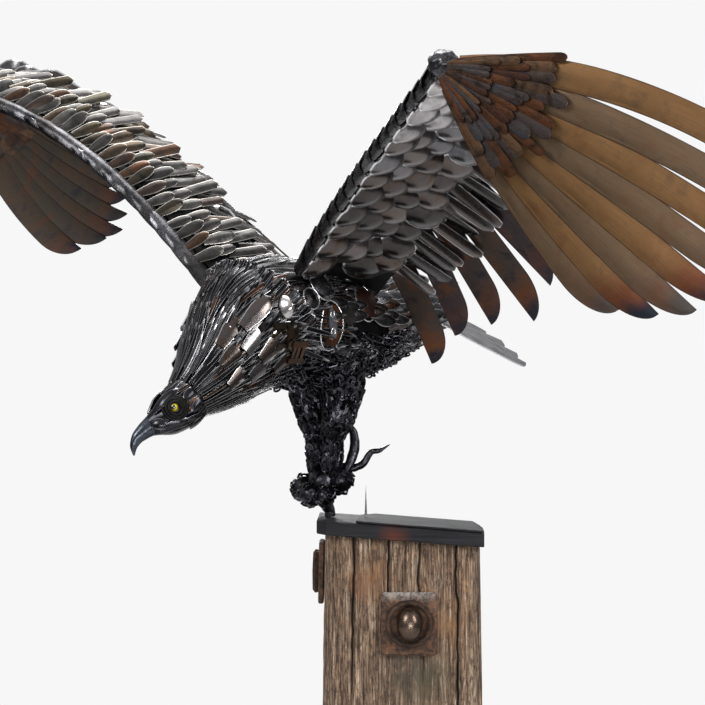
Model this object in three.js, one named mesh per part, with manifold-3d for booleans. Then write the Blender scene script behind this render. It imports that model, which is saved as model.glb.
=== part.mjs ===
// A life-size eagle welded from scrap steel, diving off one claw on the capped end of a timber post.
// Millimetres, +Z up, origin at the centre of the post's underside.
// The eagle flies toward -Y with its left wing toward +X. The post is turned an eighth of a turn to it.

import * as THREE from 'three';
import { mergeVertices } from 'three/addons/utils/BufferGeometryUtils.js';
import Module from 'manifold-3d';

const wasm = await Module();
wasm.setup();

// ---------- driving dimensions ----------

const GAP = 0.4;

const POST_HEIGHT = 556;
const POST_WIDTH = 244;
const POST_FOOT_WIDTH = 262;
const POST_CORNER = 30;
const POST_TURN = Math.PI / 4;
const POST_TOP_FALL = 0.077;
const CAP_THICKNESS = 21;
const CAP_OVERHANG = 9;
const CAP_SHEET_THICKNESS = 3;
const WASHER_PLATE_WIDTH = 88;
const WASHER_PLATE_HEIGHT = 98;
const WASHER_PLATE_THICKNESS = 9;
const WASHER_DROP = 128;

const BODY_X = -100;
const SHOULDER_HEIGHT = 989;
const SHOULDER_HALF_SPAN = 114;
const SHOULDER_Y = -230;
const ARM_OUT = 437;
const ARM_FORWARD = 154;
const SHELL_WALL = 2;
const SHEET = 2;
const LAYER = 3.2;
const NUT_RADIUS = 22;
const NUT_DOME_RADIUS = 20.5;
const NUT_STRETCH = 1.18;
const RING_BORE = 29;
const RING_RADIUS = 38;
const PRIMARY_COUNT = 8;
const PRIMARY_WIDTH = 42;
const PRIMARY_ROOT = 34;
const SECONDARY_WIDTH = 56;
const TAIL_COUNT = 5;

// ---------- colours and finishes ----------

const FINISH = {
  timber: { color: 0x7d7266, roughness: 0.85, metalness: 0 },
  slab: { color: 0x2c3036, roughness: 0.6, metalness: 0.6 },
  rust: { color: 0x5b4334, roughness: 0.7, metalness: 0.5 },
  darkSteel: { color: 0x34343a, roughness: 0.35, metalness: 0.9 },
  brightSteel: { color: 0x8f9298, roughness: 0.3, metalness: 0.95 },
  blackSteel: { color: 0x1b1c20, roughness: 0.3, metalness: 0.9 },
  heatedSteel: { color: 0x8a6238, roughness: 0.4, metalness: 0.85 },
  eye: { color: 0xd8c21c, roughness: 0.15, metalness: 0 },
};

// ---------- helpers ----------

const group = new THREE.Group();

function add(name, geometry, finish) {
  const mesh = new THREE.Mesh(geometry, new THREE.MeshStandardMaterial(FINISH[finish]));
  mesh.name = name;
  group.add(mesh);
  return mesh;
}

// Six times the signed volume, which is negative when the faces look inward.
function signedVolume(geometry) {
  const spots = geometry.attributes.position;
  const order = geometry.index.array;
  const corner = [new THREE.Vector3(), new THREE.Vector3(), new THREE.Vector3()];
  let sum = 0;
  for (let i = 0; i < order.length; i += 3) {
    corner.forEach((c, j) => c.fromBufferAttribute(spots, order[i + j]));
    sum += corner[0].dot(corner[1].clone().cross(corner[2]));
  }
  return sum;
}

function weld(geometry) {
  const bare = geometry.clone();
  bare.deleteAttribute('normal');
  bare.deleteAttribute('uv');
  return mergeVertices(bare, 1e-3);
}

// Moves every vertex of a closed shape and keeps its faces looking outward.
function bend(geometry, move) {
  const bent = weld(geometry);
  const spots = bent.attributes.position;
  const spot = new THREE.Vector3();
  for (let i = 0; i < spots.count; i += 1) {
    spot.copy(move(spot.fromBufferAttribute(spots, i).clone()));
    spots.setXYZ(i, spot.x, spot.y, spot.z);
  }
  if (signedVolume(bent) < 0) {
    const order = bent.index.array;
    for (let i = 0; i < order.length; i += 3) {
      [order[i], order[i + 1]] = [order[i + 1], order[i]];
    }
  }
  return bent;
}

function toManifold(geometry) {
  const closed = weld(geometry);
  return new wasm.Manifold(new wasm.Mesh({
    numProp: 3,
    vertProperties: Float32Array.from(closed.attributes.position.array),
    triVerts: Uint32Array.from(closed.index.array),
  }));
}

function toGeometry(manifold) {
  const mesh = manifold.getMesh();
  const geometry = new THREE.BufferGeometry();
  geometry.setAttribute('position', new THREE.BufferAttribute(mesh.vertProperties, 3));
  geometry.setIndex(new THREE.BufferAttribute(mesh.triVerts, 1));
  return geometry;
}

function join(...geometries) {
  return toGeometry(geometries.map(toManifold).reduce((whole, piece) => whole.add(piece)));
}

// Cuts the tools away and keeps the largest piece that is left.
function cut(geometry, ...tools) {
  const left = tools.map(toManifold).reduce((whole, tool) => whole.subtract(tool), toManifold(geometry));
  const pieces = left.decompose().sort((a, b) => b.volume() - a.volume());
  return toGeometry(pieces[0]);
}

// A body swept along stations of [x, y, z, half width, half height]; `side` points across it.
// With a wall it is a tube open at both ends, and `grow` swells it to make a clearance tool.
function loft({ stations, side = new THREE.Vector3(1, 0, 0), around = 12, along = 8, wall = 0, grow = 0 }) {
  const path = new THREE.CatmullRomCurve3(stations.map(([x, y, z]) => new THREE.Vector3(x, y, z)));
  const sizes = new THREE.CatmullRomCurve3(stations.map((s) => new THREE.Vector3(s[3], s[4], 0)));
  const ring = [[0.5, -0.5], [1, -0.5]];
  for (let i = 1; i <= along; i += 1) {
    ring.push([1, i / along - 0.5]);
  }
  for (let i = along; i >= 0; i -= 1) {
    ring.push([0.5, i / along - 0.5]);
  }
  const base = wall > 0
    ? new THREE.LatheGeometry(ring.map(([r, y]) => new THREE.Vector2(r, y)), around)
    : new THREE.CylinderGeometry(1, 1, 1, around, along);
  return bend(base, (v) => {
    const s = THREE.MathUtils.clamp(v.y + 0.5, 0, 1);
    const size = sizes.getPoint(s);
    const forward = path.getTangent(s);
    const across = side.clone().addScaledVector(forward, -side.dot(forward)).normalize();
    const up = across.clone().cross(forward);
    const reach = Math.hypot(v.x, v.z);
    const inset = wall > 0 && reach < 0.75 ? wall : 0;
    const angle = Math.atan2(v.z, v.x);
    const full = reach > 0.01 ? 1 : 0;
    return path.getPoint(s)
      .addScaledVector(forward, grow * (s === 0 ? -1 : Number(s === 1)))
      .addScaledVector(across, full * (size.x - inset + grow) * Math.cos(angle))
      .addScaledVector(up, full * (size.y - inset + grow) * Math.sin(angle));
  });
}

// A feather cut from sheet and laid on a surface. `centre(s)` gives the middle line in surface
// coordinates, and `place(a, b, lift)` takes those to space. One edge stays straight to the tip.
function featherGeometry({ centre, place, width, tipSide, lift, segments = 9 }) {
  return bend(new THREE.BoxGeometry(1, 1, 1, segments, 1, 1), (v) => {
    const s = 1 - (0.5 - v.x) ** 1.5;
    const taper = 0.55 + 0.45 * Math.sin(Math.min(1, s / 0.4) * Math.PI / 2);
    const point = s > 0.8 ? Math.sqrt(Math.max(0, 1 - ((s - 0.8) / 0.2) ** 2)) * 0.94 + 0.06 : 1;
    const half = width / 2 * taper * point;
    const shift = tipSide * (width / 2 * taper - half);
    const here = centre(s);
    const next = centre(s + 0.01);
    const slope = new THREE.Vector2(next.x - here.x, next.y - here.y).normalize();
    const across = v.y * 2 * half + shift;
    return place(here.x - slope.y * across, here.y + slope.x * across, lift + v.z * SHEET);
  });
}

// ---------- post, cap and bolts ----------

function roundedSquare(width, corner) {
  const half = width / 2;
  const inner = half - corner;
  const shape = new THREE.Shape();
  shape.moveTo(-inner, -half);
  shape.lineTo(inner, -half);
  shape.absarc(inner, -inner, corner, -Math.PI / 2, 0);
  shape.absarc(inner, inner, corner, 0, Math.PI / 2);
  shape.absarc(-inner, inner, corner, Math.PI / 2, Math.PI);
  shape.absarc(-inner, -inner, corner, Math.PI, 1.5 * Math.PI);
  return shape;
}

// The height of the post's top, which falls toward its own +X side.
const postTopAt = (x) => POST_HEIGHT - POST_TOP_FALL * x;

function postHalfWidthAt(z) {
  return THREE.MathUtils.lerp(POST_FOOT_WIDTH, POST_WIDTH, z / POST_HEIGHT) / 2;
}

// A drying crack in a face of the post, widest at the face and running down from the top.
function crackTool({ x, length, width, depth, turn }) {
  const wedge = new THREE.Shape();
  wedge.moveTo(-width / 2, 0);
  wedge.lineTo(width / 2, 0);
  wedge.lineTo(0, depth);
  const tool = new THREE.ExtrudeGeometry(wedge, { depth: length + 60, bevelEnabled: false });
  tool.translate(x, -POST_FOOT_WIDTH / 2 - 1, POST_HEIGHT - length);
  return tool.rotateZ(turn);
}

function makePost() {
  const blank = new THREE.ExtrudeGeometry(roundedSquare(POST_WIDTH, POST_CORNER), {
    depth: POST_HEIGHT, bevelEnabled: false, curveSegments: 4,
  });
  const timber = bend(blank, (v) => {
    const spread = postHalfWidthAt(v.z) / (POST_WIDTH / 2);
    const top = v.z / POST_HEIGHT * postTopAt(v.x);
    return new THREE.Vector3(v.x * spread, v.y * spread, top);
  });
  const quarter = Math.PI / 2;
  const cracks = [
    { x: -77, length: 240, width: 5, depth: 24, turn: 0 },
    { x: -22, length: 190, width: 4, depth: 22, turn: 0 },
    { x: 84, length: 420, width: 7, depth: 34, turn: 0 },
    { x: 30, length: 330, width: 6, depth: 40, turn: quarter },
    { x: -45, length: 300, width: 6, depth: 36, turn: 2 * quarter },
    { x: 20, length: 380, width: 5, depth: 30, turn: 3 * quarter },
  ];
  const post = cut(timber, ...cracks.map(crackTool));
  add('timber_post', post.rotateZ(POST_TURN), 'timber');
}

// A flat slab lying on the sloping top of the post, from a list of its corners.
function slopingSlab(corners, lift, thickness) {
  const shape = new THREE.Shape(corners.map(([x, y]) => new THREE.Vector2(x, y)));
  const slab = new THREE.ExtrudeGeometry(shape, {
    depth: thickness - 3, bevelEnabled: true, bevelThickness: 1.5, bevelSize: 1.5, bevelSegments: 1,
  });
  return bend(slab, (v) => new THREE.Vector3(v.x, v.y, v.z + 1.5 + postTopAt(v.x) + lift));
}

function makeCap() {
  const half = POST_WIDTH / 2 + CAP_OVERHANG;
  const slab = slopingSlab([
    [-half - 2, -half + 22], [-half + 12, -half + 2], [-30, -half - 2], [60, -half + 1], [half - 6, -half + 2],
    [half - 2, -40], [half, 50], [half - 8, half - 6], [10, half], [-90, half - 3], [-half, half - 16],
  ], GAP, CAP_THICKNESS);
  const sheet = slopingSlab([
    [-72, -half + 12], [0, -half + 6], [half - 8, -half + 5], [half - 5, 20], [half - 12, half - 10],
    [-40, half - 6], [-66, 60],
  ], 2 * GAP + CAP_THICKNESS, CAP_SHEET_THICKNESS + 1);
  add('cap_slab', slab.rotateZ(POST_TURN), 'slab');
  add('cap_top_sheet', sheet.rotateZ(POST_TURN), 'slab');

  const spike = new THREE.ConeGeometry(2.2, 52, 8).rotateX(Math.PI / 2);
  const top = postTopAt(-57) + 3 * GAP + CAP_THICKNESS + CAP_SHEET_THICKNESS + 1;
  spike.translate(-57, 4, top + 26);
  add('cap_spike', spike.rotateZ(POST_TURN), 'darkSteel');
}

// Square plate with a round washer and domed nut, or with a flat bolt head, on one face of the post.
// The geometries are made looking along -Y, then leaned and turned onto the face.
function makeBolt(name, { x, z, turn, domed }) {
  const lean = -Math.atan2((POST_FOOT_WIDTH - POST_WIDTH) / 2, POST_HEIGHT);
  const onFace = (geometry, stand) => geometry
    .translate(0, -stand, 0)
    .rotateX(lean)
    .translate(x, -postHalfWidthAt(z) - GAP, z)
    .rotateZ(turn + POST_TURN);
  const plate = new THREE.ExtrudeGeometry(roundedSquare(WASHER_PLATE_WIDTH, 7), {
    depth: WASHER_PLATE_THICKNESS - 4, bevelEnabled: true, bevelThickness: 2, bevelSize: 2, bevelOffset: -2,
    bevelSegments: 1, curveSegments: 2,
  }).scale(1, WASHER_PLATE_HEIGHT / WASHER_PLATE_WIDTH, 1).rotateX(Math.PI / 2).translate(0, -2, 0);
  add(`${name}_washer_plate`, onFace(plate, 0), 'rust');

  const turned = (profile) => new THREE.LatheGeometry(
    profile.map(([r, y]) => new THREE.Vector2(r, y)), 16,
  ).rotateX(Math.PI);
  const stand = WASHER_PLATE_THICKNESS + GAP;
  if (!domed) {
    const boltHead = turned([[0, 0], [34, 0], [35, 5], [30, 9], [0, 10]]);
    add(`${name}_bolt_head`, onFace(boltHead, stand), 'rust');
    return;
  }
  const washer = turned([
    [RING_BORE, 0], [RING_RADIUS - 2, 0], [RING_RADIUS, 4], [RING_RADIUS - 2, 9], [RING_BORE + 3, 10], [RING_BORE, 7],
    [RING_BORE, 0],
  ]);
  add(`${name}_round_washer`, onFace(washer, stand), 'rust');
  const hexagon = new THREE.CylinderGeometry(NUT_RADIUS, NUT_RADIUS + 1.5, 16, 6).translate(0, 8, 0);
  const ball = new THREE.SphereGeometry(NUT_DOME_RADIUS, 10, 6).scale(1, 1.05, 1).translate(0, 12, 0);
  const dome = cut(ball, new THREE.BoxGeometry(90, 40, 90).translate(0, -16, 0));
  const nut = join(hexagon, dome).rotateX(Math.PI).scale(1, 1, NUT_STRETCH);
  add(`${name}_nut`, onFace(nut, stand), 'rust');
}

// ---------- body, neck and head ----------

const TORSO = [
  [BODY_X, -306, 872, 58, 60],
  [BODY_X, -240, 896, 86, 92],
  [BODY_X, -150, 893, 90, 95],
  [BODY_X, -60, 890, 82, 88],
  [BODY_X, 30, 893, 64, 66],
  [BODY_X, 100, 899, 48, 44],
  [BODY_X, 164, 908, 34, 22],
];
const NECK = [
  [BODY_X, -222, 902, 92, 94],
  [BODY_X, -262, 868, 82, 86],
  [BODY_X + 1, -300, 835, 66, 70],
  [BODY_X + 2, -338, 804, 48, 52],
  [BODY_X, -372, 779, 34, 36],
];
const HEAD_CENTRE = new THREE.Vector3(BODY_X, -394, 766);
const HEAD_YAW = THREE.MathUtils.degToRad(20);
const HEAD_PITCH = THREE.MathUtils.degToRad(37);
const HEAD_FORWARD = new THREE.Vector3(
  -Math.sin(HEAD_YAW) * Math.cos(HEAD_PITCH),
  -Math.cos(HEAD_YAW) * Math.cos(HEAD_PITCH),
  -Math.sin(HEAD_PITCH),
);
const HEAD_LEFT = new THREE.Vector3(Math.cos(HEAD_YAW), -Math.sin(HEAD_YAW), 0);
const HEAD_UP = HEAD_FORWARD.clone().cross(HEAD_LEFT);

// A station in the head's own directions: ahead of the head's centre, above it, and its half sizes.
function headStation(ahead, above, halfWidth, halfHeight) {
  const spot = HEAD_CENTRE.clone().addScaledVector(HEAD_FORWARD, ahead).addScaledVector(HEAD_UP, above);
  return [spot.x, spot.y, spot.z, halfWidth, halfHeight];
}

const HEAD = [
  headStation(-44, -4, 12, 12),
  headStation(-30, -4, 28, 32),
  headStation(-6, -5, 32, 36),
  headStation(18, -5, 28, 31),
  headStation(38, -1, 19, 22),
  headStation(50, 1, 13, 17),
];
const BEAK = [
  headStation(46, 1, 12, 16),
  headStation(62, 1.5, 10, 13),
  headStation(76, 0, 7.5, 10),
  headStation(88, -6, 4.5, 6.5),
  headStation(97, -18, 1, 1.2),
];

const torso = (options) => loft({ stations: TORSO, around: 12, along: 12, ...options });
const neck = (options) => loft({ stations: NECK, around: 12, along: 7, ...options });
const head = (options) => loft({ stations: HEAD, side: HEAD_LEFT, around: 12, along: 10, ...options });

function makeBody() {
  add('body', torso({ wall: SHELL_WALL }), 'darkSteel');
  add('neck', cut(neck({ wall: SHELL_WALL }), torso({ grow: 3 * GAP }), head({ grow: GAP })), 'darkSteel');
  add('head', cut(head(), torso({ grow: GAP })), 'darkSteel');
  const beak = loft({ stations: BEAK, side: HEAD_LEFT, around: 10, along: 10 });
  add('beak', cut(beak, head({ grow: GAP })), 'blackSteel');
  for (const [name, side] of [['left_eye', 1], ['right_eye', -1]]) {
    const eye = new THREE.SphereGeometry(7, 10, 6);
    const spot = HEAD_CENTRE.clone()
      .addScaledVector(HEAD_LEFT, side * 25)
      .addScaledVector(HEAD_FORWARD, 9)
      .addScaledVector(HEAD_UP, 8);
    eye.translate(spot.x, spot.y, spot.z);
    add(name, cut(eye, head({ grow: GAP })), 'eye');
  }
}

// ---------- legs and claws ----------

const LEG_Y = -72;
const LEGS = {
  left_leg: [
    [BODY_X + 40, LEG_Y, 842, 34, 34], [BODY_X + 37, LEG_Y, 790, 31, 31], [BODY_X + 29, LEG_Y, 748, 22, 22],
    [BODY_X + 17, LEG_Y - 2, 712, 15, 15], [BODY_X + 15, LEG_Y - 2, 664, 14, 14],
  ],
  right_leg: [
    [BODY_X - 40, LEG_Y, 842, 34, 34], [BODY_X - 37, LEG_Y, 790, 31, 31], [BODY_X - 29, LEG_Y, 748, 22, 22],
    [BODY_X - 17, LEG_Y - 2, 712, 15, 15], [BODY_X - 15, LEG_Y - 2, 664, 14, 14],
  ],
};

// The two feet clenched into one welded lump, as balls of [x, y, z, radius].
const FEET = [
  [BODY_X, -78, 640, 26], [BODY_X - 26, -94, 632, 20], [BODY_X + 22, -62, 646, 22],
  [BODY_X - 4, -104, 622, 17], [BODY_X + 18, -92, 620, 15], [BODY_X - 14, -66, 620, 17],
];

function feet(grow = 0) {
  return join(...FEET.map(([x, y, z, r]) => new THREE.IcosahedronGeometry(r + grow, 1).translate(x, y, z)));
}

function makeLegs() {
  for (const [name, stations] of Object.entries(LEGS)) {
    const leg = loft({ stations, around: 10, along: 7, wall: SHELL_WALL });
    add(name, cut(leg, torso({ grow: GAP }), feet(GAP)), 'blackSteel');
  }
  add('clenched_feet', feet(), 'blackSteel');

  const capTop = postTopAt(-122) + GAP + CAP_THICKNESS;
  const claw = loft({
    stations: [
      [BODY_X + 6, -82, 622, 10, 12], [BODY_X + 8, -77, 605, 9, 11], [BODY_X + 10, -72, capTop + 9, 8, 9],
      [BODY_X + 10, -72, capTop + 0.8, 8, 9],
    ],
    around: 8, along: 6,
  });
  add('standing_claw', cut(claw, feet(GAP)), 'blackSteel');

  const talon = loft({
    stations: [
      [BODY_X + 20, -58, 668, 7, 7], [BODY_X + 34, -46, 664, 6.5, 6.5], [BODY_X + 46, -32, 672, 6, 6],
      [BODY_X + 54, -22, 690, 5, 5], [BODY_X + 62, -12, 692, 3.5, 3.5], [BODY_X + 74, 0, 702, 1, 1],
    ],
    side: new THREE.Vector3(0, 0, 1), around: 8, along: 12,
  });
  const leftLeg = loft({ stations: LEGS.left_leg, around: 10, along: 7, grow: GAP });
  add('raised_talon', cut(talon, feet(GAP), leftLeg), 'blackSteel');

  const bigClaw = loft({
    stations: [
      [BODY_X + 36, -56, 738, 1.5, 1.5], [BODY_X + 41, -50, 722, 7, 6], [BODY_X + 42, -48, 700, 9, 7],
      [BODY_X + 38, -52, 678, 9, 7], [BODY_X + 32, -58, 660, 7, 6],
    ],
    around: 8, along: 8,
  });
  const talonTool = loft({
    stations: [[BODY_X + 20, -58, 668, 8, 8], [BODY_X + 34, -46, 664, 7.5, 7.5], [BODY_X + 46, -32, 672, 7, 7]],
    side: new THREE.Vector3(0, 0, 1), around: 10, along: 6,
  });
  add('big_claw', cut(bigClaw, feet(GAP), leftLeg, talonTool), 'blackSteel');
}

// ---------- wings ----------

// `side` is +1 for the left wing. `rise` and `fall` bend the chord, `bow` arches the arm, and the hand
// is a fan in the plane of `handOut` and `handDown`, seen from its top side along `handTop`.
// The secondaries are a second fan: `t` runs from the body to the wrist, root and tip are shares of the
// arm, and the reach is the tip's distance back.
const LEFT = {
  name: 'left', side: 1, armUp: 262, shoulderLift: 0, rise: 0.35, fall: 0.0022, endSlope: -0.8, bow: 14,
  handOut: new THREE.Vector3(0.914, 0.399, -0.069), handDown: new THREE.Vector3(-0.11, 0.083, -0.99),
  baseAngle: (k) => -4 + 65 * (k / 7) ** 0.75,
  tipAngle: (k) => 16.5 + 5.4 * k,
  reach: (k) => 548 - 3.5 * (k - 1) ** 2,
  covertReach: 168, covertFrom: -6, covertTo: 62, secondaries: 6,
  secondaryRoot: (t) => 0.12 + 0.36 * t ** 0.6,
  secondaryTip: (t) => -0.1 + 0.76 * t,
  secondaryReach: (t) => 342 + 88 * Math.exp(-(((t - 0.65) / 0.28) ** 2)),
};
const RIGHT = {
  name: 'right', side: -1, armUp: 312, shoulderLift: -18, rise: 1, fall: 0.0062, endSlope: -0.62, bow: 56,
  handOut: new THREE.Vector3(-0.402, 0.768, -0.498), handDown: new THREE.Vector3(0.453, 0.64, 0.62),
  baseAngle: (k) => -10 + 4.6 * k,
  tipAngle: (k) => 1 + 20 * (k / 7) ** 0.7,
  reach: (k) => 590 - 22 * Math.abs(k - 2) ** 1.4,
  covertReach: 150, covertFrom: -18, covertTo: 30, secondaries: 5,
  secondaryRoot: (t) => 0.1 + 0.72 * t,
  secondaryTip: (t) => -0.05 + 0.8 * t,
  secondaryReach: (t) => 330 + 70 * Math.exp(-(((t - 0.68) / 0.28) ** 2)),
};

for (const wing of [LEFT, RIGHT]) {
  wing.shoulder = new THREE.Vector3(
    BODY_X + wing.side * SHOULDER_HALF_SPAN, SHOULDER_Y, SHOULDER_HEIGHT + wing.shoulderLift,
  );
  wing.arm = new THREE.Vector3(wing.side * ARM_OUT, -ARM_FORWARD, wing.armUp);
  wing.wrist = wing.shoulder.clone().add(wing.arm);
  wing.handOut.normalize();
  wing.handDown.addScaledVector(wing.handOut, -wing.handDown.dot(wing.handOut)).normalize();
  wing.handTop = wing.handDown.clone().cross(wing.handOut).multiplyScalar(wing.side).normalize();
}

// A point of the arm's skin: a share of the way to the wrist, a distance back, a lift off the skin.
// The chord rises behind the leading edge, rolls over and may end straight at `endSlope`.
function armPoint(wing, along, back, lift) {
  const arch = 4 * wing.bow * along * (1 - along);
  const spot = wing.shoulder.clone().addScaledVector(wing.arm, along);
  const straightFrom = (wing.rise - wing.endSlope) / (2 * wing.fall);
  const curved = Math.min(back, straightFrom);
  spot.y += back;
  spot.z += arch + wing.rise * curved - wing.fall * curved ** 2 + wing.endSlope * (back - curved);
  const chord = new THREE.Vector3(0, 1, wing.rise - 2 * wing.fall * curved);
  const up = wing.arm.clone().cross(chord).multiplyScalar(wing.side).normalize();
  return spot.addScaledVector(up, lift);
}

// A point of the hand's fan, which droops toward its underside with distance from the wrist.
function handPoint(wing, out, down, lift) {
  const droop = 26 * (out * out + down * down) / 500 ** 2;
  return wing.wrist.clone()
    .addScaledVector(wing.handOut, out)
    .addScaledVector(wing.handDown, down)
    .addScaledVector(wing.handTop, lift - droop);
}

// The leading edge is a row of folded plates, each swelling toward the next.
function makeArmBar(wing) {
  const plates = 14;
  const bar = bend(new THREE.CylinderGeometry(1, 1, 1, 6, 2 * plates), (v) => {
    const ring = Math.round((v.y + 0.5) * 2 * plates);
    const along = (Math.floor(ring / 2) + (ring % 2) * 0.9) / plates;
    const radius = (ring % 2 ? 13.5 : 8.5) * (1 - 0.25 * along);
    const spot = armPoint(wing, -0.02 + 0.985 * along, -4, 0);
    const reach = Math.hypot(v.x, v.z) > 0.5 ? radius : 0;
    const angle = Math.atan2(v.z, v.x);
    spot.y += reach * Math.cos(angle);
    spot.z += reach * Math.sin(angle);
    return spot;
  });
  const wrist = wing.side > 0 ? [knob(wing, GAP)] : [];
  add(`${wing.name}_wing_arm`, cut(bar, torso({ grow: GAP }), neck({ grow: GAP }), ...wrist), 'darkSteel');
}

function knob(wing, grow = 0) {
  const ball = new THREE.SphereGeometry(1, 12, 8).scale(23 + grow, 20 + grow, 19 + grow);
  return ball.translate(wing.wrist.x, wing.wrist.y, wing.wrist.z);
}

function makeArmPanel(wing) {
  const panel = bend(new THREE.BoxGeometry(1, 1, 1, 12, 7, 1), (v) => {
    const along = THREE.MathUtils.lerp(-0.12, 0.93, v.x + 0.5);
    const chord = 200 + 60 * along;
    return armPoint(wing, along, THREE.MathUtils.lerp(14, chord, v.y + 0.5), v.z * SHEET);
  });
  add(`${wing.name}_wing_skin`, cut(panel, torso({ grow: GAP }), neck({ grow: GAP })), 'brightSteel');
}

function makeSecondaries(wing) {
  const count = wing.secondaries;
  for (let k = 0; k < count; k += 1) {
    const share = k / (count - 1);
    const rootAlong = wing.secondaryRoot(share);
    const tipAlong = wing.secondaryTip(share);
    const tipBack = wing.secondaryReach(share);
    const length = wing.arm.length();
    const feather = featherGeometry({
      centre: (s) => new THREE.Vector2(
        THREE.MathUtils.lerp(rootAlong, tipAlong, s) * length, THREE.MathUtils.lerp(120, tipBack, s),
      ),
      place: (a, b, lift) => armPoint(wing, a / length, b, lift),
      width: SECONDARY_WIDTH, tipSide: 1, lift: LAYER * (1.4 + 0.9 * k), segments: 8,
    });
    add(`${wing.name}_secondary_${k + 1}`, cut(feather, torso({ grow: GAP })), 'heatedSteel');
  }
}

function makeHand(wing) {
  for (let k = 0; k < PRIMARY_COUNT; k += 1) {
    const reach = wing.reach(k);
    const feather = featherGeometry({
      centre: (s) => {
        const r = THREE.MathUtils.lerp(PRIMARY_ROOT, reach, s);
        const degrees = THREE.MathUtils.lerp(wing.baseAngle(k), wing.tipAngle(k), r / reach);
        const angle = THREE.MathUtils.degToRad(degrees);
        return new THREE.Vector2(r * Math.cos(angle), r * Math.sin(angle));
      },
      place: (a, b, lift) => handPoint(wing, a, b, lift),
      width: PRIMARY_WIDTH, tipSide: -wing.side, lift: LAYER * (PRIMARY_COUNT - k), segments: 10,
    });
    add(`${wing.name}_primary_${k + 1}`, feather, 'heatedSteel');
  }
  const coverts = bend(new THREE.BoxGeometry(1, 1, 1, 5, 6, 1), (v) => {
    const degrees = THREE.MathUtils.lerp(wing.covertFrom, wing.covertTo, v.y + 0.5);
    const angle = THREE.MathUtils.degToRad(degrees);
    const r = THREE.MathUtils.lerp(30, wing.covertReach, v.x + 0.5);
    return handPoint(wing, r * Math.cos(angle), r * Math.sin(angle), LAYER * (PRIMARY_COUNT + 1) + v.z * SHEET);
  });
  add(`${wing.name}_wing_coverts`, coverts, 'heatedSteel');
}

function makeWing(wing) {
  makeArmBar(wing);
  makeArmPanel(wing);
  makeSecondaries(wing);
  makeHand(wing);
  if (wing.side > 0) {
    add('left_wrist_knob', knob(wing), 'darkSteel');
  }
}

// ---------- tail ----------

const TAIL_ROOT = new THREE.Vector3(BODY_X, 112, 916);
const TAIL_BACK = new THREE.Vector3(0, 0.972, -0.235).normalize();
const TAIL_LEFT = new THREE.Vector3(0.86, -0.08, -0.5).normalize();
const TAIL_UP = TAIL_LEFT.clone().cross(TAIL_BACK).normalize();

function makeTail() {
  for (let k = 0; k < TAIL_COUNT; k += 1) {
    const fan = THREE.MathUtils.degToRad(13 * (k - (TAIL_COUNT - 1) / 2));
    const reach = 248 - 8 * Math.abs(k - (TAIL_COUNT - 1) / 2);
    const feather = featherGeometry({
      centre: (s) => {
        const r = THREE.MathUtils.lerp(56, reach, s);
        return new THREE.Vector2(r * Math.cos(fan), r * Math.sin(fan));
      },
      place: (a, b, lift) => TAIL_ROOT.clone()
        .addScaledVector(TAIL_BACK, a).addScaledVector(TAIL_LEFT, b).addScaledVector(TAIL_UP, lift),
      width: 46, tipSide: k < 2 ? 0.6 : -0.6, lift: LAYER * k, segments: 8,
    });
    add(`tail_feather_${k + 1}`, cut(feather, torso({ grow: GAP })), 'brightSteel');
  }
}

// ---------- the whole sculpture ----------

makePost();
makeCap();
makeBolt('front', { x: 10, z: POST_HEIGHT - WASHER_DROP, turn: 0, domed: true });
makeBolt('side', { x: 0, z: POST_HEIGHT - 56, turn: -Math.PI / 2, domed: false });
makeBody();
makeLegs();
makeWing(LEFT);
makeWing(RIGHT);
makeTail();

export default group;
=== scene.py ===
"""A life-size eagle welded from spoons, blades, washers and chain, on a capped timber post."""
import math

import bpy
import numpy as np
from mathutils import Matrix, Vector, noise


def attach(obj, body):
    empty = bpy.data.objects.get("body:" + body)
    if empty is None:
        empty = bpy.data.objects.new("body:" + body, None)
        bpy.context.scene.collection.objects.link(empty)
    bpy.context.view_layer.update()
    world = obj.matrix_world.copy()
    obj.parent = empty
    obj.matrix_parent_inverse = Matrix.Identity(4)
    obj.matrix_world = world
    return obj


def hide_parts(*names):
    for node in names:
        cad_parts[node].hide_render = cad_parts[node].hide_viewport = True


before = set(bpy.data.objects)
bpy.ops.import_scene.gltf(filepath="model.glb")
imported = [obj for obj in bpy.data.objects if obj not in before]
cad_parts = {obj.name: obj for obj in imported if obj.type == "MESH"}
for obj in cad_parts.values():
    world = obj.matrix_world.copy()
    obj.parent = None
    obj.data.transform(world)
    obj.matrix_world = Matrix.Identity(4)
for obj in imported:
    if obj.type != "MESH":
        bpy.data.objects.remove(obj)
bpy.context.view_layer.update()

MM = 0.001
SHEET = 2.0
LAYER = 3.2
BODY_X = -100.0
POST_HEIGHT = 556.0
POST_WIDTH = 244.0
POST_FOOT_WIDTH = 262.0
POST_CORNER = 30.0
POST_TURN = math.pi / 4
POST_TOP_FALL = 0.077
GAP = 0.4
CAP_THICKNESS = 21.0
STANCE_X = -122
SHOULDER_HALF_SPAN = 114
SHOULDER_Y = -230
SHOULDER_HEIGHT = 989
ARM_OUT = 437
ARM_FORWARD = 154
HAND_DROOP = 26
PRIMARY_COUNT = 8
PRIMARY_ROOT = 34
PRIMARY_WIDTH = 42
SECONDARY_ROOT = 120
SECONDARY_WIDTH = 56
TAIL_COUNT = 5
TAIL_STEP = 13
TAIL_ROOT_REACH = 56
TAIL_REACH = 248
TAIL_WIDTH = 46

CAMERA_PLACE = (3.1265, -3.2374, 0.8496)
CAMERA_LENS = 143.62

# ---------- shared arithmetic, in millimetres ----------


def unit(v):
    v = np.asarray(v, float)
    return v / np.maximum(np.linalg.norm(v, axis=-1, keepdims=True), 1e-9)


def blend(a, b, t):
    return a + (b - a) * t


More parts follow.
